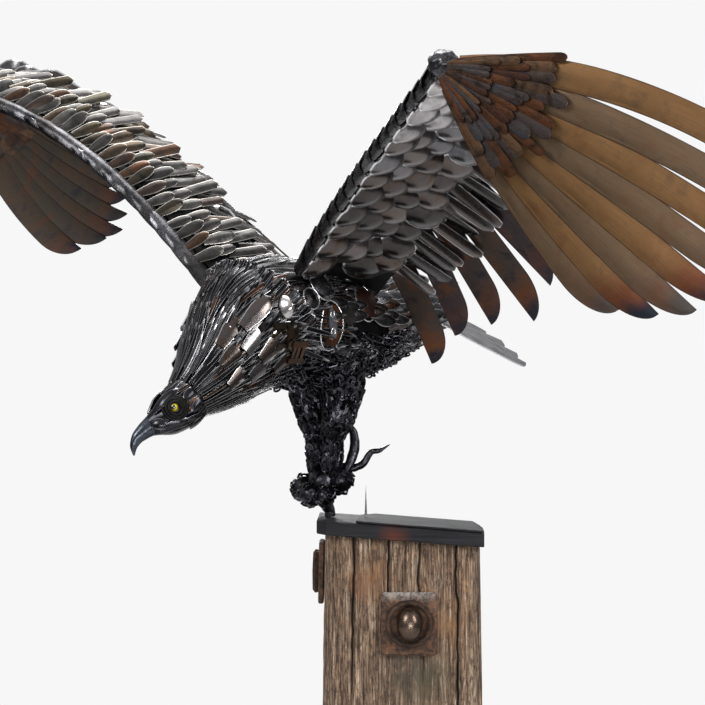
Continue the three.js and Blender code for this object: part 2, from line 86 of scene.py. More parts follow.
def circle(count):
    """Evenly spaced angles once round."""
    return np.linspace(0, 2 * math.pi, count, endpoint=False)


def spline(points, t):
    """Points of a smooth curve through the stations; t runs from 0 to 1."""
    points = np.asarray(points, float)
    t = np.atleast_1d(np.asarray(t, float)) * (len(points) - 1)
    i = np.clip(np.floor(t).astype(int), 0, len(points) - 2)
    w = (t - i)[:, None]
    ext = np.vstack([2 * points[0] - points[1], points, 2 * points[-1] - points[-2]])
    p0, p1, p2, p3 = ext[i], ext[i + 1], ext[i + 2], ext[i + 3]

    def knot(a, b):
        return np.maximum(np.sum((a - b) ** 2, 1) ** 0.25, 1e-4)[:, None]

    d0, d1, d2 = knot(p0, p1), knot(p1, p2), knot(p2, p3)
    m1 = ((p1 - p0) / d0 - (p2 - p0) / (d0 + d1) + (p2 - p1) / d1) * d1
    m2 = ((p2 - p1) / d1 - (p3 - p1) / (d1 + d2) + (p3 - p2) / d2) * d1
    return p1 + m1 * w + (3 * (p2 - p1) - 2 * m1 - m2) * w**2 + (2 * (p1 - p2) + m1 + m2) * w**3


class Limb:
    """A swept body with stations of x, y, z, half width and half height."""

    def __init__(self, stations, side=(1.0, 0.0, 0.0)):
        stations = np.array(stations, float)
        self.path = stations[:, :3]
        self.sizes = stations[:, 3:]
        self.side = np.array(side, float)

    def axes(self, s):
        forward = unit(spline(self.path, s + 0.004) - spline(self.path, s - 0.004))
        across = unit(self.side - forward * (forward @ self.side)[:, None])
        return spline(self.path, s), forward, across, np.cross(across, forward), spline(self.sizes, s)

    def at(self, s, angle, grow=0.0):
        s, angle, grow = np.broadcast_arrays(np.asarray(s, float), angle, grow)
        centre, _, across, up, size = self.axes(s.ravel())
        a, g = angle.ravel(), grow.ravel()
        spot = centre + across * ((size[:, 0] + g) * np.cos(a))[:, None]
        spot += up * ((size[:, 1] + g) * np.sin(a))[:, None]
        return spot.reshape(s.shape + (3,))

    def normal(self, s, angle):
        s, angle = np.broadcast_arrays(np.asarray(s, float), angle)
        _, _, across, up, size = self.axes(s.ravel())
        a = angle.ravel()
        n = across * (np.cos(a) / size[:, 0])[:, None] + up * (np.sin(a) / size[:, 1])[:, None]
        return unit(n).reshape(s.shape + (3,))


# ---------- shapes gathered into pieces ----------


class Work:
    """Closed shapes gathered into one piece; each corner keeps its place along and across, and a tone."""

    def __init__(self):
        self.corners, self.faces, self.places, self.tones = [], [], [], []
        self.count = 0

    def add(self, corners, faces, places=None, tone=0.5):
        corners = np.asarray(corners, float)
        order = np.array([(f[0], f[k], f[k + 1]) for f in faces for k in range(1, len(f) - 1)])
        first, second, third = corners[order[:, 0]], corners[order[:, 1]], corners[order[:, 2]]
        if np.sum(first * np.cross(second, third)) < 0:
            faces = [f[::-1] for f in faces]
        self.faces += [[i + self.count for i in f] for f in faces]
        self.corners.append(corners)
        self.places.append(np.full((len(corners), 2), 0.5) if places is None else places)
        self.tones.append(np.broadcast_to(tone, len(corners)))
        self.count += len(corners)

    def sheet(self, top, bottom, tone=0.5):
        """A closed sheet between two grids of points, with its place from 0 to 1 each way."""
        n, m = top.shape[:2]
        base = n * m
        faces = []
        for i in range(n - 1):
            for j in range(m - 1):
                a, b, c, d = i * m + j, (i + 1) * m + j, (i + 1) * m + j + 1, i * m + j + 1
                faces += [[a, b, c, d], [base + a, base + d, base + c, base + b]]
                if j == 0:
                    faces.append([b, a, base + a, base + b])
                if j == m - 2:
                    faces.append([d, c, base + c, base + d])
                if i == 0:
                    faces.append([a, d, base + d, base + a])
                if i == n - 2:
                    faces.append([c, b, base + b, base + c])
        u, v = np.meshgrid(np.linspace(0, 1, n), np.linspace(0, 1, m), indexing="ij")
        place = np.stack([u.ravel(), v.ravel()], 1)
        self.add(np.vstack([top.reshape(-1, 3), bottom.reshape(-1, 3)]), faces, np.vstack([place, place]),
                 tone)

    def tube(self, rings, tone=0.5):
        """A closed body from rings of points, with a point in the middle of each end."""
        n, m = rings.shape[:2]
        faces = []
        for i in range(n - 1):
            for j in range(m):
                k = (j + 1) % m
                faces.append([i * m + j, i * m + k, (i + 1) * m + k, (i + 1) * m + j])
        first, last = n * m, n * m + 1
        for j in range(m):
            k = (j + 1) % m
            faces += [[first, k, j], [last, (n - 1) * m + j, (n - 1) * m + k]]
        corners = np.vstack([rings.reshape(-1, 3), rings[0].mean(0), rings[-1].mean(0)])
        self.add(corners, faces, None, tone)

    def band(self, sections, tone=0.5):
        """A closed ring through sections, the last joined to the first."""
        sections = np.array(sections)
        n, m = sections.shape[:2]
        faces = [[i * m + j, i * m + (j + 1) % m, (i + 1) % n * m + (j + 1) % m, (i + 1) % n * m + j]
                 for i in range(n) for j in range(m)]
        self.add(sections.reshape(-1, 3), faces, None, tone)


def ribbon(work, centres, normals, left, right, thickness=1.6, crown=0.0, across=3, tone=0.5):
    """A strip of sheet along a line, facing the normals, with a half width to each side."""
    tangents = unit(np.gradient(centres, axis=0))
    sides = unit(np.cross(normals, tangents))
    v = np.linspace(-1, 1, across + 1)
    offset = np.where(v < 0, v * right[:, None], v * left[:, None])
    height = crown * (1 - v**2) * (left + right)[:, None] / 2
    middle = centres[:, None] + sides[:, None] * offset[..., None] + normals[:, None] * height[..., None]
    lift = normals[:, None] * thickness / 2
    work.sheet(middle + lift, middle - lift, tone)


def rounded(s, root=0.8, tip_from=0.78):
    """Half width of a blade with a round end."""
    end = np.sqrt(np.maximum(0, 1 - (np.maximum(0, s - tip_from) / (1 - tip_from)) ** 2)) * 0.95 + 0.05
    return blend(root, 1.0, np.minimum(1, s / 0.5)) * end


def leaf(s, power=0.7):
    return np.sin(np.pi * np.clip(s, 0.02, 0.98)) ** power


def mesh_object(name, work, material, soften=38):
    mesh = bpy.data.meshes.new(name)
    mesh.from_pydata((np.vstack(work.corners) * MM).tolist(), [], work.faces)
    places = np.vstack(work.places)
    tones = np.concatenate(work.tones)
    loops = np.empty(len(mesh.loops), np.int32)
    mesh.loops.foreach_get("vertex_index", loops)
    mesh.uv_layers.new(name="UVMap").data.foreach_set("uv", places[loops].ravel())
    mesh.attributes.new("tone", "FLOAT", "POINT").data.foreach_set("value", tones.astype(np.float32))
    mesh.materials.append(material)
    mesh.shade_smooth()
    mesh.set_sharp_from_angle(angle=math.radians(soften))
    obj = bpy.data.objects.new(name, mesh)
    bpy.context.scene.collection.objects.link(obj)
    return obj


def settle(obj, slot, *nodes):
    """The piece rides on the sculpture and stands for its solids; the finish slot is not used."""
    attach(obj, "root")
    if nodes:
        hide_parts(*nodes)
    return obj


# ---------- finishes ----------


class Finish:
    """A node material in the making."""

    def __init__(self, name, metallic, roughness=0.4, bump=0.3, bump_size=0.002):
        self.material = bpy.data.materials.new(name)
        self.material.use_nodes = True
        self.nodes = self.material.node_tree.nodes
        self.links = self.material.node_tree.links
        self.shader = self.nodes["Principled BSDF"]
        self.shader.inputs["Metallic"].default_value = metallic
        self.shader.inputs["Roughness"].default_value = roughness
        self.bump = bump
        self.bump_size = bump_size
        self.object = self.add("ShaderNodeTexCoord").outputs["Object"]

    def add(self, kind, **settings):
        node = self.nodes.new(kind)
        for key, value in settings.items():
            setattr(node, key, value)
        return node

    def feed(self, socket, value):
        if isinstance(value, (int, float)):
            socket.default_value = value
        elif isinstance(value, (tuple, list)):
            socket.default_value = (*value,
                                    1.0) if len(socket.default_value) == 4 and len(value) == 3 else value
        else:
            self.links.new(value, socket)

    def place(self):
        return self.add("ShaderNodeUVMap", uv_map="UVMap").outputs["UV"]

    def attribute(self, name):
        return self.add("ShaderNodeAttribute", attribute_name=name).outputs["Fac"]

    def stretched(self, coords, scale, turn=(0, 0, 0)):
        node = self.add("ShaderNodeMapping")
        self.feed(node.inputs["Vector"], coords)
        node.inputs["Scale"].default_value = scale
        node.inputs["Rotation"].default_value = turn
        return node.outputs["Vector"]

    def clouds(self, coords, scale, detail=4, rough=0.6, warp=0.0):
        node = self.add("ShaderNodeTexNoise")
        self.feed(node.inputs["Vector"], coords)
        for key, value in (("Scale", scale), ("Detail", detail), ("Roughness", rough), ("Distortion", warp)):
            node.inputs[key].default_value = value
        return node.outputs["Fac"]

    def ramp(self, value, *stops):
        node = self.add("ShaderNodeValToRGB")
        band = node.color_ramp
        while len(band.elements) < len(stops):
            band.elements.new(0.5)
        for element, (spot, colour) in zip(band.elements, stops):
            element.position = spot
            element.color = (colour,) * 3 + (1,) if isinstance(colour, (int, float)) else (*colour, 1)
        self.feed(node.inputs["Fac"], value)
        return node.outputs["Color"]

    def mix(self, share, a, b, mode="MIX"):
        node = self.add("ShaderNodeMix", data_type="RGBA", blend_type=mode)
        self.feed(node.inputs[0], share)
        self.feed(node.inputs[6], a)
        self.feed(node.inputs[7], b)
        return node.outputs[2]

    def maths(self, operation, a, b=0.0, clamp=False):
        node = self.add("ShaderNodeMath", operation=operation, use_clamp=clamp)
        self.feed(node.inputs[0], a)
        self.feed(node.inputs[1], b)
        return node.outputs[0]

    def times(self, a, b):
        return self.maths("MULTIPLY", a, b)

    def between(self, value, low, high):
        """A number that slides from low to high as the value goes from 0 to 1, and may pass 1."""
        return self.maths("ADD", self.times(value, high - low), low)

    def near(self, centre, reach):
        """1 at a point of the sculpture, falling to 0 at a distance, in metres."""
        node = self.add("ShaderNodeVectorMath", operation="DISTANCE")
        self.feed(node.inputs[0], self.object)
        node.inputs[1].default_value = centre
        return self.maths("SUBTRACT", 1.0, self.maths("DIVIDE", node.outputs["Value"], reach), clamp=True)

    def edge(self, width):
        """1 on the cut edge of a sheet, 0 inside it."""
        parts = self.add("ShaderNodeSeparateXYZ")
        self.feed(parts.inputs[0], self.place())
        off = self.maths("ABSOLUTE", self.maths("SUBTRACT", parts.outputs[1], 0.5))
        end = self.maths("SUBTRACT", parts.outputs[0], 0.5)
        far = self.maths("MAXIMUM", off, end)
        return self.ramp(far, (0.5 - width, 0.0), (0.5 - width * 0.35, 1.0))

    def done(self, colour, rough=None, relief=None):
        self.feed(self.shader.inputs["Base Color"], colour)
        if rough is not None:
            self.feed(self.shader.inputs["Roughness"], rough)
        if relief is not None:
            node = self.add("ShaderNodeBump")
            node.inputs["Strength"].default_value = self.bump
            node.inputs["Distance"].default_value = self.bump_size
            self.feed(node.inputs["Height"], relief)
            self.links.new(node.outputs["Normal"], self.shader.inputs["Normal"])
        return self.material


def steel_with_painted_edges(name, dark, light, rim, tints=(), roughness=(0.25, 0.45), edge=0.12, painted_edge_strength=0.8,
               shades=(0.6, 1.3), grain=0.25):
    """Scrap steel: mottled between two colours, tinted piece by piece, with its cut edges painted in the rim
    colour: a painted highlight where that colour is bright, a darker edge where it is dark.
    """
    f = Finish(name, 0.95, bump=grain, bump_size=0.0015)
    mottle = f.clouds(f.object, 45, 5, 0.65, 0.4)
    fine = f.clouds(f.object, 380, 3, 0.7)
    colour = f.ramp(mottle, (0.32, dark), (0.68, light))
    tone = f.attribute("tone")
    for spot, tint in tints:
        nearness = f.maths("SUBTRACT", 1.0, f.times(f.maths("ABSOLUTE", f.maths(
            "SUBTRACT", tone, spot)), 7.0), clamp=True)
        share = f.times(nearness, f.ramp(mottle, (0.38, 0.15), (0.6, 0.95)))
        colour = f.mix(share, colour, tint)
    # The tone scales each piece's brightness; on the spoon bowls it carries painted reflection, and on the arm's
    # patina plates partly painted light.
    shade = f.between(tone, *shades)
    colour = f.mix(1.0, colour, shade, "MULTIPLY")
    # Painted highlight: the rim colour laid along the cut edges stands for light catching them.
    painted_edge_share = f.times(f.edge(edge), painted_edge_strength)
    colour = f.mix(painted_edge_share, colour, rim)
    rough = f.ramp(fine, (0.3, roughness[0]), (0.7, roughness[1]))
    return f.done(colour, rough, fine)


def heat_tint(name, root, middle, warm, tip, other, roughness=(0.3, 0.48), mottled=0.5):
    """Sheet steel coloured by heat: bands along the blade, brushed lengthwise, blue at the tip, with painted
    shadow along its edges.
    """
    f = Finish(name, 0.88, bump=0.2, bump_size=0.001)
    parts = f.add("ShaderNodeSeparateXYZ")
    f.feed(parts.inputs[0], f.place())
    drift = f.times(f.maths("SUBTRACT", f.clouds(f.object, 22, 3), 0.5), 0.22)
    along = f.maths("ADD", parts.outputs[0], drift)
    bands = f.ramp(along, (0.0, root), (0.2, middle), (0.58, middle), (0.76, warm), (0.87, tip))
    streak = f.clouds(f.stretched(f.place(), (2.5, 26, 1)), 3.0, 5, 0.65)
    bands = f.mix(f.ramp(f.attribute("tone"), (0.3, 0.0), (0.7, 1.0)), bands, f.mix(0.55, bands, other))
    shade = f.between(f.ramp(streak, (0.3, 0.0), (0.7, 1.0)), 0.55, 1.4)
    colour = f.mix(0.85, bands, f.mix(1.0, bands, shade, "MULTIPLY"))
    blotch = f.clouds(f.object, 26, 6, 0.66, 0.4)
    colour = f.mix(f.ramp(blotch, (0.53, 0.0), (0.66, mottled)), colour, warm)
    colour = f.mix(f.ramp(blotch, (0.32, mottled), (0.45, 0.0)), colour, tip)
    # Painted shadow: a near-black line along the edges stands for the shade between overlapping blades.
    colour = f.mix(f.times(f.edge(0.04), 0.75), colour, (0.03, 0.022, 0.018))
    return f.done(colour, f.ramp(streak, (0.3, roughness[0]), (0.7, roughness[1])), streak)


def front_spot(across, height):
    """A point on the post's front face, in metres."""
    corner = np.array([across + POST_WIDTH / 2, across - POST_WIDTH / 2]) * math.sqrt(0.5)
    return (corner[0] * MM, corner[1] * MM, height * MM)


def weathered_timber():
    f = Finish("weathered_timber", 0.0, bump=0.7, bump_size=0.004)
    turned = f.stretched(f.object, (1, 1, 1), (0, 0, -POST_TURN))
    grain = f.clouds(f.stretched(turned, (420, 420, 14)), 1.0, 6, 0.7, 0.6)
    broad = f.clouds(f.stretched(turned, (60, 60, 5)), 1.0, 5, 0.7, 0.8)
    specks = f.clouds(f.stretched(turned, (260, 260, 70)), 1.0, 6, 0.75, 0.5)
    spots = f.clouds(f.object, 38, 5, 0.7)
    colour = f.ramp(grain, (0.34, (0.02, 0.012, 0.008)), (0.45, (0.1, 0.06, 0.036)),
                    (0.55, (0.24, 0.16, 0.1)),
                    (0.68, (0.56, 0.45, 0.34)))
    colour = f.mix(f.ramp(specks, (0.42, 0.95), (0.52, 0.0)), colour,
                   f.mix(1.0, colour, (0.3, 0.24, 0.2), "MULTIPLY"))
    colour = f.mix(f.ramp(broad, (0.4, 0.7), (0.56, 0.0)), colour,
                   f.mix(1.0, colour, (0.42, 0.35, 0.3), "MULTIPLY"))
    colour = f.mix(f.ramp(broad, (0.58, 0.0), (0.72, 0.45)), colour, (0.5, 0.42, 0.33))
    colour = f.mix(f.ramp(spots, (0.58, 0.0), (0.78, 0.6)), colour, (0.38, 0.2, 0.085))
    patchy = f.ramp(spots, (0.36, 0.15), (0.6, 0.9))
    # Two orange rust stains and a dark green stain; the dark brown patch at (6, 360) round the front washer plate
    # is painted shade in its recess.
    for across, height, reach, stain_and_shade in ((-48, 495, 0.045, (0.2, 0.095, 0.04)),
                                         (62, 425, 0.06, (0.21, 0.105, 0.045)),
                                         (6, 360, 0.075, (0.035, 0.028, 0.02)),
                                         (34, 340, 0.06, (0.05, 0.042, 0.022))):
        colour = f.mix(f.times(f.near(front_spot(across, height), reach), patchy), colour, stain_and_shade)
    # Painted shade: the cracks are coloured near-black where shade falls inside them.
    colour = f.mix(f.attribute("crack"), colour, (0.008, 0.006, 0.005))
    return f.done(colour, f.ramp(grain, (0.2, 0.95), (0.8, 0.72)), grain)


def rusty_iron(name, roughness, relief, dirty=False, metallic=0.5, depth=1.0):
    """Pitted iron, from scaly to polished by wear, with or without pale dirt along its top edge."""
    f = Finish(name, metallic, bump=relief, bump_size=0.004)
    pits = f.clouds(f.object, 130, 7, 0.75, 0.4)
    broad = f.clouds(f.object, 30, 4, 0.6)
    colour = f.ramp(pits, (0.32, (0.012, 0.009, 0.008)), (0.47, (0.06, 0.034, 0.024)),
                    (0.6, (0.17, 0.085, 0.045)),
                    (0.76, (0.42, 0.23, 0.13)))
    colour = f.mix(f.ramp(broad, (0.5, 0.0), (0.72, 0.45)), colour, (0.26, 0.17, 0.12))
    colour = f.mix(1.0, colour, (depth, depth, depth), "MULTIPLY")
    if dirty:
        for across in (-22, 4, 34):
            dirt = f.times(f.near(front_spot(across, 486), 0.028), f.ramp(pits, (0.4, 0.2), (0.6, 1.3)))
            colour = f.mix(f.maths("MINIMUM", dirt, 0.8), colour, (0.58, 0.56, 0.52))
    return f.done(colour, f.ramp(pits, (0.3, roughness[0]), (0.7, roughness[1])), pits)


def slate_cap():
    f = Finish("slate_cap", 0.0, bump=0.8, bump_size=0.003)
    f.shader.inputs["Specular IOR Level"].default_value = 0.22
    turned = f.stretched(f.object, (1, 1, 1), (0, 0, -POST_TURN))
    layers = f.clouds(f.stretched(turned, (9, 9, 260)), 1.0, 5, 0.6, 0.3)
    scuffs = f.clouds(f.stretched(turned, (14, 70, 30)), 1.0, 6, 0.7)
    colour = f.ramp(layers, (0.35, (0.004, 0.004, 0.0055)), (0.6, (0.012, 0.0122, 0.015)),
                    (0.8, (0.05, 0.052, 0.058)))
    colour = f.mix(f.ramp(scuffs, (0.62, 0.0), (0.74, 0.5)), colour, (0.16, 0.17, 0.19))
    rust = f.times(f.near((0.082, -0.103, 0.561), 0.03), f.ramp(scuffs, (0.35, 0.3), (0.55, 0.8)))
    colour = f.mix(rust, colour, (0.09, 0.022, 0.012))
    return f.done(colour, f.ramp(scuffs, (0.3, 0.55), (0.7, 0.8)), layers)


def eye_glass(name, pupil):
    f = Finish(name, 0.0, 0.12)
    colour = f.mix(f.ramp(f.near(pupil, 0.0052), (0.15, 0.0), (0.35, 1.0)), (0.62, 0.5, 0.01),
                   (0.004, 0.004, 0.004))
    rays = f.clouds(f.object, 900, 3)
    colour = f.mix(f.ramp(rays, (0.4, 0.0), (0.7, 0.4)), colour, (0.2, 0.2, 0.0))
    f.shader.inputs["Coat Weight"].default_value = 1.0
    return f.done(colour)


RUST = (0.13, 0.05, 0.024)
MAROON = (0.055, 0.022, 0.018)
BLUE_GREY = (0.045, 0.047, 0.053)
SOOT = (0.035, 0.032, 0.034)

TIMBER = weathered_timber()
PLATE_IRON = rusty_iron("rusty_plate", (0.5, 0.85), 0.9, True)
RING_IRON = rusty_iron("scaly_ring", (0.6, 0.9), 1.0, depth=0.5)
# The third colour of each steel is its rim colour, a painted highlight along the cut edges; on the covert strips
# it is dark instead.
NUT_IRON = steel_with_painted_edges("worn_nut", (0.05, 0.034, 0.026), (0.15, 0.105, 0.08), (0.2, 0.14, 0.1), (),
                      (0.2, 0.34), 0.02,
                      0.2, grain=0.12)
CAP = slate_cap()
DARK = steel_with_painted_edges("dark_steel", (0.012, 0.012, 0.014), (0.06, 0.057, 0.058), (0.45, 0.45, 0.47),
                  ((0.12, (0.1, 0.045, 0.02)), (0.85, (0.11, 0.11, 0.12))), (0.2, 0.38), 0.07, 0.7)
STRIP = steel_with_painted_edges("neck_strip", (0.006, 0.006, 0.008), (0.02, 0.0195, 0.02), (0.36, 0.36, 0.37),
                   ((-0.04, (0.3, 0.12, 0.045)), (0.95, (0.07, 0.07, 0.075))), (0.2, 0.34), 0.12, 0.75,
                   grain=0.05)
FACE = steel_with_painted_edges("face_steel", (0.014, 0.014, 0.017), (0.04, 0.04, 0.044), (0.4, 0.4, 0.43), (), (0.18, 0.3),
                  0.07,
                  0.6, grain=0.05)
BEAK_STEEL = steel_with_painted_edges("beak_steel", (0.035, 0.04, 0.05), (0.075, 0.083, 0.1), (0.12, 0.13, 0.15), (),
                        (0.22, 0.34),
                        0.03, 0.4, grain=0.04)
BLACK = steel_with_painted_edges("black_steel", (0.014, 0.014, 0.018), (0.06, 0.06, 0.068), (0.34, 0.34, 0.37), (),
                   (0.12, 0.26),
                   0.1)
CORE = steel_with_painted_edges("inner_shell", (0.004, 0.004, 0.005), (0.014, 0.013, 0.014), (0.014, 0.014, 0.014), (),
                  (0.4, 0.6))
# The wide brightness range lets the tone paint reflection on the spoon bowls.
SILVER = steel_with_painted_edges("spoon_silver", (0.07, 0.065, 0.065), (0.16, 0.155, 0.155), (0.8, 0.8, 0.82),
                    ((0.1, (0.07, 0.04, 0.025)), (0.3, (0.04, 0.04, 0.045))), (0.14, 0.28), 0.045, 0.8,
                    (0.4, 4.4), 0.08)
PATINA = steel_with_painted_edges("patina_plate", (0.028, 0.027, 0.026), (0.1, 0.096, 0.09), (0.4, 0.38, 0.35),
                    ((0.06, (0.15, 0.1, 0.06)), (0.2, (0.085, 0.08, 0.048)), (0.33, (0.14, 0.06, 0.03)),
                     (0.47, SOOT)), (0.26, 0.42), 0.07, 0.7,
                    (0.35, 1.05), 0.12)
COVERT = steel_with_painted_edges("covert_strip", (0.012, 0.01, 0.01), (0.12, 0.07, 0.042), (0.02, 0.016, 0.015),
                    ((0.1, RUST), (0.3, MAROON), (0.5, BLUE_GREY), (0.7, (0.09, 0.05, 0.028)), (0.9, SOOT)),
                    (0.3, 0.5), 0.07, 0.8)
PALE = steel_with_painted_edges("tail_steel", (0.09, 0.09, 0.095), (0.26, 0.26, 0.27), (0.55, 0.55, 0.57), (), (0.25, 0.42),
                  0.06)
GOLDEN = heat_tint("heated_primary", (0.07, 0.038, 0.02), (0.2, 0.108, 0.046), (0.13, 0.045, 0.022),
                   (0.02, 0.022, 0.032), (0.1, 0.083, 0.064), mottled=0.3)
UMBER = heat_tint("heated_secondary", (0.028, 0.023, 0.022), (0.07, 0.05, 0.04), (0.15, 0.055, 0.024),
                  (0.022, 0.02, 0.028), (0.05, 0.038, 0.05), mottled=0.85)
# Painted shade: a darkened copy of the heat tint for the far hand's underside, which keeps its own tints.
SHADED = heat_tint("heated_underside", (0.028, 0.021, 0.017), (0.06, 0.041, 0.027), (0.085, 0.038, 0.023),
                   (0.024, 0.021, 0.03), (0.046, 0.042, 0.033), mottled=0.9)


# ---------- Geometry Nodes: pieces laid on spots, and bars along lines ----------


def tree_input(tree, name, kind, value=None):
    socket = tree.interface.new_socket(name=name, in_out="INPUT", socket_type="NodeSocket" + kind)
    if value is not None:
        socket.default_value = value
    return socket.identifier


def lay_pieces_tree():
    """Lays one small piece on every spot, turned to the spot's facing and heading, with a seeded wobble."""
    tree = bpy.data.node_groups.new("lay_pieces", "GeometryNodeTree")
    keys = {name: tree_input(tree, name, kind, value) for name, kind, value in (
        ("Spots", "Geometry", None), ("Piece", "Object", None), ("Finish", "Material", None),
        ("Size", "Float", 1.0), ("Lean", "Float", 0.0), ("Roll", "Float", 0.0), ("Wobble", "Float", 0.1),
        ("Seed", "Int", 1))}
    tree.interface.new_socket(name="Laid", in_out="OUTPUT", socket_type="NodeSocketGeometry")
    new, link = tree.nodes.new, tree.links.new
    given, result = new("NodeGroupInput").outputs, new("NodeGroupOutput")

    def spot_vector(name):
        node = new("GeometryNodeInputNamedAttribute")
        node.data_type = "FLOAT_VECTOR"
        node.inputs["Name"].default_value = name
        return node.outputs["Attribute"]

    aim = new("FunctionNodeAxesToRotation")
    aim.primary_axis, aim.secondary_axis = "Z", "X"
    link(spot_vector("facing"), aim.inputs["Primary Axis"])
    link(spot_vector("heading"), aim.inputs["Secondary Axis"])
    chance = new("FunctionNodeRandomValue")
    chance.data_type = "FLOAT_VECTOR"
    chance.inputs[0].default_value = (-1, -1, -1)
    chance.inputs[1].default_value = (1, 1, 1)
    link(given["Seed"], chance.inputs["Seed"])
    shaken = new("ShaderNodeVectorMath")
    shaken.operation = "SCALE"
    link(chance.outputs[0], shaken.inputs[0])
    link(given["Wobble"], shaken.inputs["Scale"])
    lowered = new("ShaderNodeMath")
    lowered.operation = "MULTIPLY"
    lowered.inputs[1].default_value = -1.0
    link(given["Lean"], lowered.inputs[0])
    set_turn = new("ShaderNodeCombineXYZ")
    link(given["Roll"], set_turn.inputs[0])
    link(lowered.outputs[0], set_turn.inputs[1])
    total = new("ShaderNodeVectorMath")
    link(shaken.outputs[0], total.inputs[0])
    link(set_turn.outputs[0], total.inputs[1])
    euler = new("FunctionNodeEulerToRotation")
    link(total.outputs[0], euler.inputs[0])
    turned = new("FunctionNodeRotateRotation")
    turned.rotation_space = "LOCAL"
    link(aim.outputs[0], turned.inputs["Rotation"])
    link(euler.outputs[0], turned.inputs["Rotate By"])
    sized = new("ShaderNodeVectorMath")
    sized.operation = "SCALE"
    link(spot_vector("size"), sized.inputs[0])
    link(given["Size"], sized.inputs["Scale"])
    piece = new("GeometryNodeObjectInfo")
    link(given["Piece"], piece.inputs["Object"])
    lay = new("GeometryNodeInstanceOnPoints")
    link(given["Spots"], lay.inputs["Points"])
    link(piece.outputs["Geometry"], lay.inputs["Instance"])
    link(turned.outputs[0], lay.inputs["Rotation"])
    link(sized.outputs[0], lay.inputs["Scale"])
    real = new("GeometryNodeRealizeInstances")
    coat = new("GeometryNodeSetMaterial")
    link(lay.outputs[0], real.inputs[0])
    link(real.outputs[0], coat.inputs[0])
    link(given["Finish"], coat.inputs["Material"])
    link(coat.outputs[0], result.inputs[0])
    return tree, keys


def sweep_bars_tree():
    """Turns lines into round bars of one thickness."""
    tree = bpy.data.node_groups.new("sweep_bars", "GeometryNodeTree")
    keys = {name: tree_input(tree, name, kind, value) for name, kind, value in (
        ("Lines", "Geometry", None), ("Thickness", "Float", 0.002), ("Sides", "Int", 8),
        ("Finish", "Material", None))}
    tree.interface.new_socket(name="Bars", in_out="OUTPUT", socket_type="NodeSocketGeometry")
    new, link = tree.nodes.new, tree.links.new
    given, result = new("NodeGroupInput").outputs, new("NodeGroupOutput")
    curve = new("GeometryNodeMeshToCurve")
    section = new("GeometryNodeCurvePrimitiveCircle")
    sweep = new("GeometryNodeCurveToMesh")
    sweep.inputs["Fill Caps"].default_value = True
    real = new("GeometryNodeRealizeInstances")
    coat = new("GeometryNodeSetMaterial")
    link(given["Lines"], curve.inputs[0])
    link(given["Sides"], section.inputs["Resolution"])
    link(given["Thickness"], section.inputs["Radius"])
    link(curve.outputs[0], sweep.inputs["Curve"])
    link(section.outputs[0], sweep.inputs["Profile Curve"])
    link(sweep.outputs[0], real.inputs[0])
    link(real.outputs[0], coat.inputs[0])
    link(given["Finish"], coat.inputs["Material"])
    link(coat.outputs[0], result.inputs[0])
    return tree, keys


LAY = lay_pieces_tree()
SWEEP = sweep_bars_tree()


def run_tree(name, mesh, tree, values, soften):
    """Runs a tree on a mesh and keeps the plain mesh that it makes."""
    group, keys = tree
    carrier = bpy.data.objects.new(name + "_carrier", mesh)
    bpy.context.scene.collection.objects.link(carrier)
    modifier = carrier.modifiers.new("tree", "NODES")
    modifier.node_group = group
    for key, value in values.items():
        modifier[keys[key]] = value
    bpy.context.view_layer.update()
    evaluated = carrier.evaluated_get(bpy.context.evaluated_depsgraph_get())
    made = bpy.data.meshes.new_from_object(evaluated)
    made.name = name
    carrier.modifiers.remove(modifier)
    bpy.data.objects.remove(carrier)
    for spare in ("facing", "heading", "size"):
        if spare in made.attributes:
            made.attributes.remove(made.attributes[spare])
    made.shade_smooth()
    made.set_sharp_from_angle(angle=math.radians(soften))
    obj = bpy.data.objects.new(name, made)
    bpy.context.scene.collection.objects.link(obj)
    return obj


class Spots:
    """Where small pieces go: place, facing, heading, size in millimetres, and tone."""

    def __init__(self):
        self.rows = []

    def add(self, place, facing, heading, size, tone):
        self.rows.append((*place, *facing, *heading, *size, tone))

    def mesh(self, name):
        rows = np.array(self.rows, float)
        mesh = bpy.data.meshes.new(name)
        mesh.from_pydata((rows[:, :3] * MM).tolist(), [], [])
        for key, columns in (("facing", rows[:, 3:6]), ("heading", rows[:, 6:9]),
                             ("size", rows[:, 9:12] * MM)):
            attribute = mesh.attributes.new(key, "FLOAT_VECTOR", "POINT")
            attribute.data.foreach_set("vector", columns.astype(np.float32).ravel())
        tone = mesh.attributes.new("tone", "FLOAT", "POINT")
        tone.data.foreach_set("value", rows[:, 12].astype(np.float32))
        return mesh


def lay(name, spots, piece, finish, slot, *nodes, lean=0.0, roll=0.0, wobble=0.1, seed=1, size=1.0,
        soften=35):
    values = {"Piece": piece, "Finish": finish, "Size": size, "Lean": lean, "Roll": roll, "Wobble": wobble,
              "Seed": seed}
    return settle(run_tree(name, spots.mesh(name), LAY, values, soften), slot, *nodes)


def bars(name, lines, thickness, finish, slot, *nodes, sides=8):
    """Round bars along lists of points; a line that ends where it starts is closed."""
    corners, edges = [], []
    for line in lines:
        line = np.asarray(line, float)
        closed = np.linalg.norm(line[0] - line[-1]) < 0.01
        start = len(corners)
        corners += (line[:-1] if closed else line).tolist()
        edges += [(i, i + 1) for i in range(start, len(corners) - 1)]
        if closed:
            edges.append((len(corners) - 1, start))
    mesh = bpy.data.meshes.new(name)
    mesh.from_pydata((np.array(corners) * MM).tolist(), edges, [])
    values = {"Thickness": thickness * MM, "Sides": sides, "Finish": finish}
    return settle(run_tree(name, mesh, SWEEP, values, 50), slot, *nodes)


# ---------- small scrap pieces, one unit long, root at the origin, tip toward +X ----------


